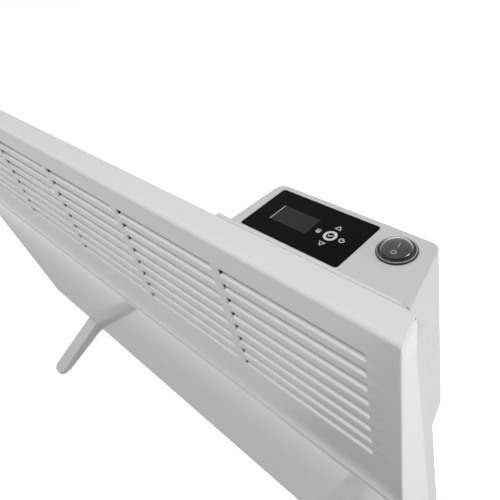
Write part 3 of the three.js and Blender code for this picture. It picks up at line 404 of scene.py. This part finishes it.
def faceTable():
    # Runs, places and leans down the face. The bow leans back more and more as it goes up,
    # and below the crease only the side flanges' rows still lean, less and less.
    steps = panel["bowSteps"]
    share = (np.arange(steps) + 0.5) / steps
    lean = np.radians(panel["creaseLean"] + (panel["faceLean"] - panel["creaseLean"]) * share)
    bow = np.stack([np.sin(lean), np.cos(lean)], -1) * panel["bowRun"] / steps
    crease = np.array([frontY, floorGap + panel["lowerRun"]])
    climb = crease + np.concatenate([np.zeros((1, 2)), np.cumsum(bow, 0)])
    faceLean = np.radians(panel["faceLean"])
    corner = climb[-1] + np.array([np.sin(faceLean), np.cos(faceLean)]) * panel["louvreRun"]
    easeRun = panel["lowerRun"] * panel["easeShare"]
    places = np.vstack([corner, climb[::-1], crease - [0, easeRun], [frontY, floorGap]])
    runs = np.concatenate([[0], np.linspace(panel["louvreRun"], creaseRun, steps + 1),
                           [creaseRun + easeRun, faceRun]])
    leans = np.concatenate([[faceLean, faceLean], lean[::-1], [0, 0]])
    return runs, places, leans


faceRuns, facePlaces, faceLeans = faceTable()
topCorner = facePlaces[0]


def onFace(x, down, inward):
    # The place at a run down the face and a depth square behind it.
    x, down, inward = np.broadcast_arrays(x, down, inward)
    lean = np.interp(down, faceRuns, faceLeans)
    y = np.interp(down, faceRuns, facePlaces[:, 0]) + inward * np.cos(lean)
    z = np.interp(down, faceRuns, facePlaces[:, 1]) - inward * np.sin(lean)
    return np.stack([x, y, z], -1)


topPlace = (Matrix.Translation((0, topCorner[0], topCorner[1]))
            @ Matrix.Rotation(-math.radians(panel["faceLean"]), 4, "X"))


def sideTop(inward):
    # Run of a side flange's upper edge, which follows the inside of the top flange: a quarter
    # circle inside the top bend, and level behind it.
    inner = panel["topBend"] - panel["sideGap"]
    reach = inner ** 2 - (panel["topBend"] - inward) ** 2
    bend = panel["topBend"] - np.sqrt(np.clip(reach, 0, None))
    return np.where(inward < panel["topBend"], bend, panel["sideGap"])


def endX(inward, down):
    # The heater's ends run in towards the back near the top, and stand square further down:
    # a straight taper over the depth, eased out below its hold with a smooth step.
    share = np.clip((down - panel["taperHold"]) / (panel["taperDrop"] - panel["taperHold"]), 0, 1)
    ease = 1 - share ** 2 * (3 - 2 * share)
    return halfWidth - panel["endTaper"] * ease * np.clip(inward - panel["taperStart"], 0, None)


def faceSheet():
    # A grid over the face and both side flanges: rows go down the face, and columns go from
    # the left flange's back edge round the left bend, across, and round to the right one's.
    rows = distinct(
        [panel["topBend"], *panel["rowsAbove"]], slotTops, slotTops + panel["slotHeight"],
        panel["louvreRun"] + panel["bowRun"] * np.arange(panel["bowRows"]) / panel["bowRows"],
        creaseRun + panel["creaseWidth"] * np.array(panel["creaseRows"]),
        creaseRun + panel["lowerRun"] * np.array(panel["rowsBelow"]),
        [faceRun - panel["footBend"]])
    down = rows[:, None]
    start, first = panel["topBend"], panel["topSideBend"]
    bend = first + (panel["sideBend"] - first) * np.clip((down - start) / panel["sideEase"], 0, 1)
    turn = quarterTurn(panel["sideBendPoints"])
    bendX, bendIn = halfWidth - bend + bend * np.sin(turn), bend - bend * np.cos(turn)
    lean = np.interp(down, faceRuns, faceLeans)
    square = (panel["sideBack"] - np.interp(down, faceRuns, facePlaces[:, 0])) / np.cos(lean)
    level = panel["evenBelow"]
    share = np.clip((down - start) / (level - start), 0, 1)
    # The back edge leaves a small relief under the top flange's corner, and then runs forward.
    gap, relief = panel["sideGap"], panel["reliefDrop"]
    deepest = panel["flangeDepth"] - panel["reliefTrim"]
    edgeRun = np.where(down < level, gap + (level - gap) * share, down)
    opened = np.clip((edgeRun - gap) / relief, 0, 1)
    forward = np.clip((edgeRun - gap - relief) / (panel["taperDrop"] - gap - relief), 0, 1)
    back = panel["reliefStart"] + (deepest - panel["reliefStart"]) * opened
    back = back + (square - back) * forward ** panel["reliefCurve"]
    flangeIn = bend + (back - bend) * np.linspace(panel["firstColumn"], 1, panel["sideColumns"])
    rightX = np.hstack([bendX, np.full_like(flangeIn, halfWidth)])
    rightIn = np.hstack([bendIn, flangeIn])
    slots = np.sort(np.concatenate([slotLefts, slotLefts + slotLength]))
    middleX = np.broadcast_to(slots, (len(rows), len(slots)))
    x = np.hstack([-rightX[:, ::-1], middleX, rightX])
    inward = np.hstack([rightIn[:, ::-1], np.zeros_like(middleX), rightIn])
    raised = sideTop(inward) + (level - sideTop(inward)) * share
    flange = np.isclose(np.abs(x), halfWidth, rtol=0, atol=panel["atEnd"])
    runs = np.where(flange & (down < level), raised, down)
    x = np.where(flange, np.sign(x) * (endX(inward, runs) - (halfWidth - np.abs(x))), x)
    fromCrease = np.abs(down - creaseRun) / (panel["creaseWidth"] / 2)
    groove = panel["creaseDepth"] * np.clip(1 - fromCrease, 0, 1)
    inward = inward + np.where(np.abs(x) < halfWidth - panel["sideBend"], groove, 0)
    quads = gridQuads(*x.shape)
    rowOf, columnOf = np.divmod(quads[:, 0], x.shape[1])
    isSlot = (np.isclose(rows[rowOf][:, None], slotTops).any(1)
              & np.isclose(x[0][columnOf][:, None], slotLefts).any(1))
    across = x[-1][(inward[-1] == 0)]
    return onFace(x, runs, inward).reshape(-1, 3), quads[~isSlot], across


def slats(start):
    # Each slat comes down from its free edge and out through a fold to the slot's foot, as one
    # small grid repeated over all the slots.
    turn = np.radians(np.linspace(panel["slatAngle"], 0, panel["slatPoints"]))
    fold = np.stack([panel["slatBend"] * np.sin(turn), panel["slatBend"] * (1 - np.cos(turn))], -1)
    away = np.array([np.cos(turn[0]), np.sin(turn[0])]) * panel["slatRun"]
    profile = np.vstack([fold[0] + away, fold[0] + away / 2, fold])
    rise, inward = profile[:, 0][:, None], profile[:, 1][:, None]
    inset = panel["slatSlant"] * inward / inward.max()
    x = np.hstack([inset, slotLength - inset])
    left = slotLefts[:, None, None, None]
    top = slotTops[None, :, None, None]
    points = onFace(left + x, top + panel["slotHeight"] - rise, inward)
    count = len(profile) * 2
    offsets = start + np.arange(len(slotLefts) * len(slotTops))[:, None, None] * count
    return points.reshape(-1, 3), (offsets + gridQuads(len(profile), 2)).reshape(-1, 4)


def strip(profile, x, start, tapered=False):
    # A profile of (inward, down) points carried along X. A tapered one draws in as it goes
    # back, as the top flange does.
    profile = np.asarray(profile, float)
    x = x * (endX(profile[:, :1], 0) / halfWidth if tapered else 1)
    points = onFace(x, profile[:, 1:], profile[:, :1])
    return points.reshape(-1, 3), gridQuads(len(profile), x.shape[-1], start)


def makePanel():
    # One sheet of the face with its side flanges, the slats, and a strip carried along X for
    # the flange above and another for the one below, thickened inwards.
    bend, rear, foot = panel["topBend"], panel["rearBend"], panel["footBend"]
    depth = panel["flangeDepth"]
    points, quads, across = faceSheet()
    parts, faces = [points], [quads]
    points, quads = slats(len(points))
    parts.append(points)
    faces.append(quads)

    # The top flange, from its hem's lower edge forward and round the top bend.
    ends = halfWidth - panel["topSideBend"]
    edges = distinct([-halfWidth, -ends], across, [ends, halfWidth])
    hem = np.array([[depth, panel["hemDrop"]], [depth, rear + panel["hemStraight"]]])
    rearArc = arc((depth - rear, rear), rear, *panel["hemTurn"], panel["hemSteps"])
    frontArc = arc((bend, bend), bend, 270, 180, panel["topSteps"])
    flat = [[row, 0] for row in panel["flangeRows"]]
    profile = np.vstack([hem, rearArc, flat, frontArc])
    points, quads = strip(profile, edges, sum(len(p) for p in parts), tapered=True)
    parts.append(points)
    faces.append(quads)

    # The bottom bend and its return flange.
    footArc = arc((foot, foot), foot, 180, 270, panel["footSteps"])
    profile = np.vstack([footArc, [[panel["returnDepth"], 0]]])
    profile[:, 1] = faceRun - profile[:, 1]
    points, quads = strip(profile, across, sum(len(p) for p in parts))
    parts.append(points)
    faces.append(quads)

    piece = newPiece("front_panel_sheet", np.concatenate(parts), np.concatenate(faces).tolist(),
                     "white_powder_coat", replaced=["front_panel"])
    # The sheet's inner side, the wall's second material, gets the dark painted shade.
    piece.data.materials.append(materials["inner_painted_shade"])
    wall = thicken(piece, panel["sheet"])
    wall.use_even_offset = True
    wall.material_offset = 1
    finishEdges(piece, panel["edge"], panel["edgeAngle"])


# The casing's two upper corners. Inward and down give a corner plate's start, end and number
# of points, gap is its distance to the side flange, and inset its least one to the heater's end.
casingEnds = {
    "inward": (9.0, 20.9, 9), "down": (2.0, 14.6, 9), "gap": 0.15, "inset": 1.55, "sheet": 0.6,
    "lidFront": 8.6, "lidBackGap": 0.9, "lidBoxGap": 0.3, "lidFoot": -0.3, "lidRise": 6.0,
    "lidPoints": 5,
}


def makeCorners():
    # The casing's ends go on up inside the side flanges, just clear of them, to the top flange:
    # a plate's X is the taper's less the sheet and the gap. A small lid closes each upper corner,
    # and rises in step with its way in from the heater's end to the box.
    inset, foot = halfWidth - casingEnds["inset"], casingHigh[2] + casingEnds["lidFoot"]
    inward, down = np.meshgrid(np.linspace(*casingEnds["inward"]),
                               np.linspace(*casingEnds["down"]))
    plateX = np.minimum(endX(inward, down) - panel["sheet"] - casingEnds["gap"], inset)
    count = casingEnds["lidPoints"]
    lidY = np.linspace(casingEnds["lidFront"], casingHigh[1] - casingEnds["lidBackGap"], count)
    share, lidY = np.meshgrid(np.linspace(0, 1, count), lidY)
    lidX = inset - share * (inset - casingEnds["lidBoxGap"] - boxRight)
    sides = ((-1, "left"), (1, "right"))
    for side, name in sides:
        points = onFace(plateX * side, down, inward)
        piece = newPiece("casing_corner_" + name, points.reshape(-1, 3),
                         gridQuads(*plateX.shape)[:, ::side].tolist(), "casing_coat")
        thicken(piece, casingEnds["sheet"])
        finishEdges(piece, 0)
    for side, name in sides:
        points = np.stack([lidX * side, lidY, foot + casingEnds["lidRise"] * share], -1)
        piece = newPiece("casing_lid_" + name, points.reshape(-1, 3),
                         gridQuads(*lidX.shape)[:, ::-side].tolist(), "lid_paint")
        thicken(piece, casingEnds["sheet"])
        finishEdges(piece, 0)


makePanel()
makeCorners()
print("front panel made")


# The bracket strip behind the top flange. Its top lies a little below the flange. Stops are
# two more columns, from its left end and from its right corner.
bracket = {"left": 241.4, "right": 388.4, "front": 21.65, "back": 24.2, "drop": 0.2,
           "leg": 11.0, "sheet": 1.2, "corner": 2.2, "tip": 0.05, "edge": 0.2,
           "cornerPoints": 9, "stops": (60, 30)}


def makeBracket():
    # A closed angle section carried along X. Its back edge is drawn in round the right corner
    # by a quarter circle: the radius less the radius times the turn's cosine.
    turn = quarterTurn(bracket["cornerPoints"])
    left, right, radius = bracket["left"], bracket["right"], bracket["corner"]
    fromLeft, fromRight = bracket["stops"]
    straight = [left, left + fromLeft, right - radius - fromRight]
    x = np.concatenate([straight, right - radius + radius * np.sin(turn)])
    back = bracket["back"] - np.concatenate([np.zeros(len(straight)), radius * (1 - np.cos(turn))])
    front, drop, sheet = bracket["front"], bracket["drop"], bracket["sheet"]
    inner = np.minimum(front + sheet, back - bracket["tip"])
    ones = np.ones_like(x)
    run = np.stack([front * ones, front * ones, back, back, inner, inner, front * ones])
    down = np.array([bracket["leg"], drop, drop, drop + sheet, drop + sheet, bracket["leg"],
                     bracket["leg"]])[:, None] * ones
    points = placed(np.stack([x * np.ones_like(run), run, -down], -1).reshape(-1, 3), topPlace)
    faces = gridQuads(*run.shape)[:, ::-1].tolist()
    leftEnd = np.arange(len(run) - 1) * len(x)
    faces += [leftEnd.tolist(), (leftEnd + len(x) - 1)[::-1].tolist()]
    piece = newPiece("bracket_strip", points, faces, "strip_paint",
                     replaced=["box_bracket"])
    finishEdges(piece, bracket["edge"])


makeBracket()


# The glass touch panel's prints, in millimetres along X and along the tilted top. A stroke is
# (x, y, x, y, width), its ends seen from the middle of its sign.
touch = {
    "display": (276.9, 306.7, 38.4, 53.8), "displayRound": 0.4,
    "edgeLight": 0.5, "edgeGap": 0.2,
    "ring": (321.1, 45.1), "ringOuter": 4.45, "ringInner": 2.6,
    "tick": [(-1.5, 0.3, -0.4, -0.9, 0.75), (-0.6, -0.9, 1.6, 1.1, 0.75)],
    "backArrow": (321.2, 53.9), "frontArrow": (320.8, 36.4), "arrow": (2.45, 1.85, 0.85),
    "arrowInset": 2.1,
    "clock": (329.7, 45.2), "clockOuter": 2.0, "clockInner": 1.35, "clockTurn": (70, 380),
    "clockHand": [(0, 0, 1.3, 1.0, 0.5)],
    "flame": (312.0, 45.3), "bowlDrop": 0.4, "bowlOuter": 1.7, "bowlInner": 0.6,
    "tongues": [(-0.85, -0.6, -1.45, 1.4, 0.6), (0, -0.6, 0, 1.8, 0.6),
                (0.85, -0.6, 1.45, 1.4, 0.6)],
    "ringSteps": 24, "print": (0.01, 0.035), "displayDrop": 0.005,
}


def roundedRectangle(x0, x1, y0, y1, radius, steps=6):
    # Four quarter circles, each a radius in from its corner.
    return np.vstack([arc((x1 - radius, y0 + radius), radius, -90, 0, steps),
                      arc((x1 - radius, y1 - radius), radius, 0, 90, steps),
                      arc((x0 + radius, y1 - radius), radius, 90, 180, steps),
                      arc((x0 + radius, y0 + radius), radius, 180, 270, steps)])


def circle(centre, radius, count=40):
    # Points spread evenly all the way round, without the first one again at the end.
    return arc(centre, radius, 0, 360 - 360 / count, count - 1)


def arrowLoops(centre, way):
    # A triangle with a smaller one cut out of it, both round the same centre. way is -1 for
    # the one that points to the front.
    half, rise, width = touch["arrow"]
    corners = np.array([[-half, -rise], [half, -rise], [0, rise]])
    middle = np.array([0, -rise / 3])
    inner = middle + (corners - middle) * (1 - touch["arrowInset"] * width / (half + rise))
    turn = np.array([way, way])
    return np.array(centre) + corners * turn, np.array(centre) + inner * turn


def stroke(x0, y0, x1, y1, width):
    # A straight bar's corners: half its width to either side of both its ends.
    along = np.array([x1 - x0, y1 - y0])
    across = np.array([-along[1], along[0]]) / np.linalg.norm(along) * width / 2
    start, end = np.array([x0, y0]), np.array([x1, y1])
    return np.array([start - across, end - across, end + across, start + across])


def strokes(centre, rows):
    x, y = centre
    return [(stroke(x + x0, y + y0, x + x1, y + y1, width), None) for x0, y0, x1, y1, width in rows]


def openRing(centre, outer, inner, start, end):
    # Out along the outer arc and back along the inner one.
    steps = touch["ringSteps"]
    return np.vstack([arc(centre, outer, start, end, steps), arc(centre, inner, end, start, steps)])


def makeTouchPrints():
    # Each print is a flat outline just over the glass, drawn out by a few hundredths of a mm.
    x0, x1, y0, y1 = touch["display"]
    low, high = touch["print"]
    drop, edge = touch["displayDrop"], x0 - touch["edgeGap"]
    window = roundedRectangle(x0, x1, y0, y1, touch["displayRound"])
    platePiece("display_glass", [(window, None)], topPlace, low - drop, high - drop,
               "display_window", "smoked_plastic")
    platePiece("display_edge_light", [(stroke(edge, y0, edge, y1, touch["edgeLight"]), None)],
               topPlace, low, high, "icon_ink", "smoked_plastic")
    flameX, flameY = touch["flame"]
    outlines = [
        (circle(touch["ring"], touch["ringOuter"]), circle(touch["ring"], touch["ringInner"])),
        arrowLoops(touch["backArrow"], 1), arrowLoops(touch["frontArrow"], -1),
        *strokes(touch["ring"], touch["tick"]),
        (openRing(touch["clock"], touch["clockOuter"], touch["clockInner"], *touch["clockTurn"]),
         None),
        *strokes(touch["clock"], touch["clockHand"]),
        (openRing((flameX, flameY - touch["bowlDrop"]), touch["bowlOuter"], touch["bowlInner"],
                  180, 360), None),
        *strokes(touch["flame"], touch["tongues"]),
    ]
    platePiece("touch_icons", outlines, topPlace, low, high, "icon_ink", "white_plastic")


makeTouchPrints()
print("touch panel printed")


# The round rocker switch under its clear cap, about its own upright axis on the tilted top.
# offMark is (x, y, outer and inner radius), and onMark (start, end, width). Points and steps
# say how finely each curve is made.
switch = {
    "x": 361.2, "run": 54.4,
    "bezelRadius": 11.9, "bezelHeight": 1.3, "bezelLip": 0.7, "bezelSeat": 0.3,
    "bodyRadius": 9.8, "bodyDepth": 22.0, "cup": 8.4, "cupLip": 0.5, "cupDepth": 7,
    "lipSteps": 6, "cupLipSteps": 4,
    "bladeHalf": (2.4, 0.4), "bladeSpots": (-5, 5), "bladeTip": -31, "bladeLap": 0.1,
    "rimRadius": 11.0, "rimTube": 0.22, "rimSteps": 12,
    "capRadius": 9.3, "capRise": 5.4, "capWall": 0.5, "capSink": 0.5, "capSquare": 2.6,
    "capPoints": 19,
    "rockerTilt": 10.0, "rockerPivot": -1.0, "rockerValley": 9.1, "rockerTop": 2.6,
    "offMark": (-0.1, -2.5, 1.55, 1.15), "onMark": (1.9, 4.6, 0.34), "markPrint": (0.01, 0.08),
    "markPoints": 32,
}
switchPlace = topPlace @ Matrix.Translation((switch["x"], switch["run"], 0))


def makeBezel():
    # A turned profile: out over the cup's floor, up and round its lip, out and round the
    # bezel's edge, and in and down the body. Two flat blades stand out below.
    lip, edge, height = switch["bezelLip"], switch["bezelRadius"], switch["bezelHeight"]
    cup, cupLip, cupDepth = switch["cup"], switch["cupLip"], switch["cupDepth"]
    body, depth, seat = switch["bodyRadius"], switch["bodyDepth"], switch["bezelSeat"]
    profile = np.vstack([
        [[0, -cupDepth], [cup, -cupDepth]],
        arc((cup + cupLip, height - cupLip), cupLip, 180, 90, switch["cupLipSteps"]),
        arc((edge - lip, height - lip), lip, 90, 0, switch["lipSteps"]),
        [[edge, seat], [body, seat], [body, -depth], [0, -depth]]])
    turnedPiece("switch_bezel", profile, switchPlace, "switch_bezel",
                ["switch_body"])
    wide, thick = switch["bladeHalf"]
    blades = [(np.array([[x - wide, -thick], [x + wide, -thick], [x + wide, thick],
                         [x - wide, thick]]), None) for x in switch["bladeSpots"]]
    platePiece("switch_blades", blades, switchPlace, switch["bladeTip"],
               switch["bladeLap"] - depth, "plated_steel", "steel")


def makeRim():
    # The cap's clamping ring: a thin wire, half sunk in the bezel's top. The ring is real, and its
    # light grey is a painted highlight for the bright line at the clear cap's edge.
    centre = (switch["rimRadius"], switch["bezelHeight"])
    wire = arc(centre, switch["rimTube"], 360, 0, switch["rimSteps"])
    turnedPiece("switch_cap_rim", wire, switchPlace, "switch_rim_painted_highlight",
                ["switch_ring"])


def makeCap():
    # A quarter of a squarish ellipse for the outer skin, and a smaller one for the inner skin:
    # the sines and cosines of its turn are raised to a power below one, which squares it.
    seat = switch["bezelHeight"] - switch["capSink"]
    wall, radius, power = switch["capWall"], switch["capRadius"], 2 / switch["capSquare"]
    angle = quarterTurn(switch["capPoints"])
    rise = switch["capRise"] - seat - wall
    across, up = np.cos(angle) ** power, np.sin(angle) ** power
    outer = np.stack([radius * across, seat + wall + rise * up], -1)
    inner = np.stack([(radius - wall) * across, seat + wall + (rise - wall) * up], -1)
    profile = np.vstack([[[radius, seat]], outer, inner[::-1], [[radius - wall, seat]],
                         [[radius, seat]]])
    turnedPiece("switch_clear_cap", profile, switchPlace, "clear_plastic",
                ["switch_cap"])


def rockerFlat(side):
    # The rocker's two flats meet in a shallow valley over its pivot. Side is -1 for the front one.
    pivot = Matrix.Translation((0, 0, switch["rockerPivot"]))
    tilt = Matrix.Rotation(math.radians(switch["rockerTilt"]), 4, "X")
    rise = Matrix.Translation((0, 0, switch["rockerTop"]))
    return switchPlace @ pivot @ tilt @ rise @ Matrix.Rotation(
        side * math.radians(switch["rockerValley"]), 4, "X")


def makeMarks():
    # A ring on the rocker's front flat and a bar on its rear one.
    x, y, outer, inner = switch["offMark"]
    start, end, width = switch["onMark"]
    ring = tuple(circle((x, y), radius, switch["markPoints"]) for radius in (outer, inner))
    marks = (("rocker_mark_off", ring, -1),
             ("rocker_mark_on", (stroke(0, start, 0, end, width), None), 1))
    for name, outline, side in marks:
        platePiece(name, [outline], rockerFlat(side), *switch["markPrint"], "switch_mark_ink",
                   "smoked_plastic", "rocker")


makeBezel()
makeRim()
makeCap()
makeMarks()
print("switch made")


# The pieces of the frame whose shapes stay: how their names start, their finish, and the width
# of the round that softens their edges, in millimetres.
dressed = {
    ("rear_casing",): ("casing_coat", 0.25),
    ("box_housing",): ("white_moulded_plastic", 1.5),
    ("touch_panel",): ("black_glass", 0.12),
    ("foot_left", "foot_right"): ("white_foot_plastic", 0.4),
    ("foot_pad",): ("pad_rubber", 0.3),
    ("foot_screw", "casing_screw", "box_screw"): ("plated_steel", 0.15),
    ("heat_shield", "element_bracket"): ("galvanised_sheet", 0.15),
    ("heating_element",): ("fin_aluminium", 0.1),
    ("element_end",): ("ceramic", 0.2),
    ("overheat_cutout", "tilt_switch", "relay", "transformer"): ("dark_plastic", 0.3),
    ("control_board", "power_board"): ("circuit_board", 0.1),
    ("lcd_module",): ("display_window", 0.2),
    ("switch_rocker",): ("switch_rocker", 0.25),
    ("terminal_block", "cable_gland", "room_probe"): ("white_moulded_plastic", 0.2),
}


def dress(starts, finish, bevel):
    # Flat stretches are joined first, so that each real edge gets one clean narrow round.
    for name, node in nodes.items():
        if name.startswith(starts):
            node.data.materials.clear()
            node.data.materials.append(materials[finish])
            flatten = node.modifiers.new("Flatten", "DECIMATE")
            flatten.decimate_type = "DISSOLVE"
            flatten.angle_limit = math.radians(edgeSetup["flatAngle"])
            finishEdges(node, bevel)


for starts, (finish, bevel) in dressed.items():
    dress(starts, finish, bevel)
print("frame pieces dressed")


# A white table and room, in metres. Lights are (name, place, aim, width, height, power), and only
# the one named inGloss shows in gloss and through clear plastic. tableGloss is (distance,
# brightness): painted light and shade in the table as the panel's gloss shows it, by its distance
# in front of the heater out to glossReach, darker close to the heater. Towards the right
# (dimAcross, along X) and the front (dimAhead, along Y) that brightness falls by dimDepth, a
# painted shade on the face's right-hand end.
studio = {
    "tableReach": 14.0, "tableDrop": 0.0002, "tableRoughness": 0.6,
    "tableColour": 0.62, "tableGlow": 0.88, "tableShade": 0.6,
    "glossPeak": 1.25, "glossReach": 0.4,
    "dimAcross": (0.04, 0.22), "dimAhead": (-0.142, -0.176), "dimDepth": 0.85,
    "tableGloss": [(0.0, 0.42), (0.06, 0.46), (0.09, 0.6), (0.108, 1.0), (0.128, 0.85),
                   (0.16, 0.54), (0.21, 0.56), (0.26, 0.66)],
    "roomLight": 0.2,
    "inGloss": "RightSoftbox",
    "lights": [
        ("OverheadSoftbox", (0.3, -0.6, 2.05), (0.2, 0.0, 0.45), 1.7, 0.8, 18.3),
        ("NearSoftbox", (0.28, -0.16, 1.1), (0.27, 0.0, 0.47), 0.4, 0.25, 0.7),
        ("RightSoftbox", (1.3, 0.35, 0.5), (0.4, 0.0, 0.32), 0.5, 0.5, 7.9),
    ],
}


def seenOnly(tree, seen, glossy, others):
    # What is seen directly or through clear plastic, what shows in gloss, and what lights the
    # heater each have their own strength.
    path = tree.nodes.new("ShaderNodeLightPath")
    either = mathNode(tree, "MAXIMUM", path.outputs["Is Camera Ray"],
                      path.outputs["Is Transmission Ray"])
    inGloss = tree.nodes.new("ShaderNodeMixShader")
    inSight = tree.nodes.new("ShaderNodeMixShader")
    tree.links.new(path.outputs["Is Glossy Ray"], inGloss.inputs["Fac"])
    tree.links.new(others, inGloss.inputs[1])
    tree.links.new(glossy, inGloss.inputs[2])
    tree.links.new(either.outputs["Value"], inSight.inputs["Fac"])
    tree.links.new(inGloss.outputs["Shader"], inSight.inputs[1])
    tree.links.new(seen, inSight.inputs[2])
    return inSight.outputs["Shader"]


def fromTo(tree, source, start, end, smooth=False):
    # 0 before the start, 1 past the end.
    node = tree.nodes.new("ShaderNodeMapRange")
    node.interpolation_type = "SMOOTHSTEP" if smooth else "LINEAR"
    node.inputs["From Min"].default_value, node.inputs["From Max"].default_value = start, end
    tree.links.new(source, node.inputs["Value"])
    return node.outputs["Result"]


def paintedTableReflection(tree):
    gloss = tree.nodes.new("ShaderNodeEmission")
    place = tree.nodes.new("ShaderNodeTexCoord")
    split = tree.nodes.new("ShaderNodeSeparateXYZ")
    tree.links.new(place.outputs["Object"], split.inputs["Vector"])
    across, ahead = split.outputs["X"], split.outputs["Y"]
    # Painted light and shade in bands, by distance in front of the heater, darker close to it.
    bands = tree.nodes.new("ShaderNodeValToRGB")
    stops = bands.color_ramp.elements
    bands.color_ramp.interpolation = "B_SPLINE"
    for spot, (far, level) in enumerate(studio["tableGloss"]):
        stop = stops[spot] if spot < len(stops) else stops.new(1.0)
        stop.position, stop.color = far / studio["glossReach"], (level, level, level, 1)
    tree.links.new(fromTo(tree, ahead, 0.0, -studio["glossReach"]), bands.inputs["Fac"])
    tree.links.new(bands.outputs["Color"], gloss.inputs["Color"])
    # A painted shade: the table shows darker in gloss ahead of the heater's right end, which
    # darkens the face's right-hand end.
    dim = mathNode(tree, "MULTIPLY", fromTo(tree, across, *studio["dimAcross"], smooth=True),
                   fromTo(tree, ahead, *studio["dimAhead"], smooth=True))
    peak = studio["glossPeak"]
    level = mathNode(tree, "MULTIPLY_ADD", dim.outputs["Value"], -studio["dimDepth"] * peak, peak)
    tree.links.new(level.outputs["Value"], gloss.inputs["Strength"])
    return gloss.outputs["Emission"]


def makeTable():
    far, drop = studio["tableReach"], studio["tableDrop"]
    mesh = bpy.data.meshes.new("table")
    mesh.from_pydata([(-far, -far, 0), (far, -far, 0), (far, far, 0), (-far, far, 0)], [],
                     [(0, 1, 2, 3)])
    table = bpy.data.objects.new("table", mesh)
    bpy.context.scene.collection.objects.link(table)
    table.location.z = -drop
    material, tree, shader = newMaterial("table_white")
    shader.inputs["Base Color"].default_value = (*[studio["tableColour"]] * 3, 1)
    shader.inputs["Roughness"].default_value = studio["tableRoughness"]
    glow = tree.nodes.new("ShaderNodeEmission")
    glow.inputs["Strength"].default_value = studio["tableGlow"]
    shade = tree.nodes.new("ShaderNodeBsdfDiffuse")
    shade.inputs["Color"].default_value = (*[studio["tableShade"]] * 3, 1)
    both = tree.nodes.new("ShaderNodeAddShader")
    tree.links.new(glow.outputs["Emission"], both.inputs[0])
    tree.links.new(shade.outputs["BSDF"], both.inputs[1])
    surface = seenOnly(tree, both.outputs["Shader"], paintedTableReflection(tree), shader.outputs["BSDF"])
    tree.links.new(surface, tree.nodes["Material Output"].inputs["Surface"])
    mesh.materials.append(material)


def makeRoom():
    world = bpy.data.worlds.new("Studio")
    bpy.context.scene.world = world
    world.use_nodes = True
    tree = world.node_tree
    white = tree.nodes["Background"]
    white.inputs["Color"].default_value = (1, 1, 1, 1)
    room = tree.nodes.new("ShaderNodeBackground")
    room.inputs["Strength"].default_value = studio["roomLight"]
    sky = white.outputs["Background"]
    surface = seenOnly(tree, sky, sky, room.outputs["Background"])
    tree.links.new(surface, tree.nodes["World Output"].inputs["Surface"])


def makeLights():
    for name, place, aim, width, height, power in studio["lights"]:
        light = bpy.data.objects.new(name, bpy.data.lights.new(name, "AREA"))
        bpy.context.scene.collection.objects.link(light)
        light.data.shape = "RECTANGLE"
        light.data.size, light.data.size_y = width, height
        light.data.energy = power
        light.visible_glossy = light.visible_transmission = name == studio["inGloss"]
        light.location = place
        light.rotation_mode = "QUATERNION"
        light.rotation_quaternion = (Vector(aim) - Vector(place)).to_track_quat("-Z", "Y")


makeTable()
makeRoom()
makeLights()
print("stage lit")

bpy.context.scene.view_settings.view_transform = "Standard"
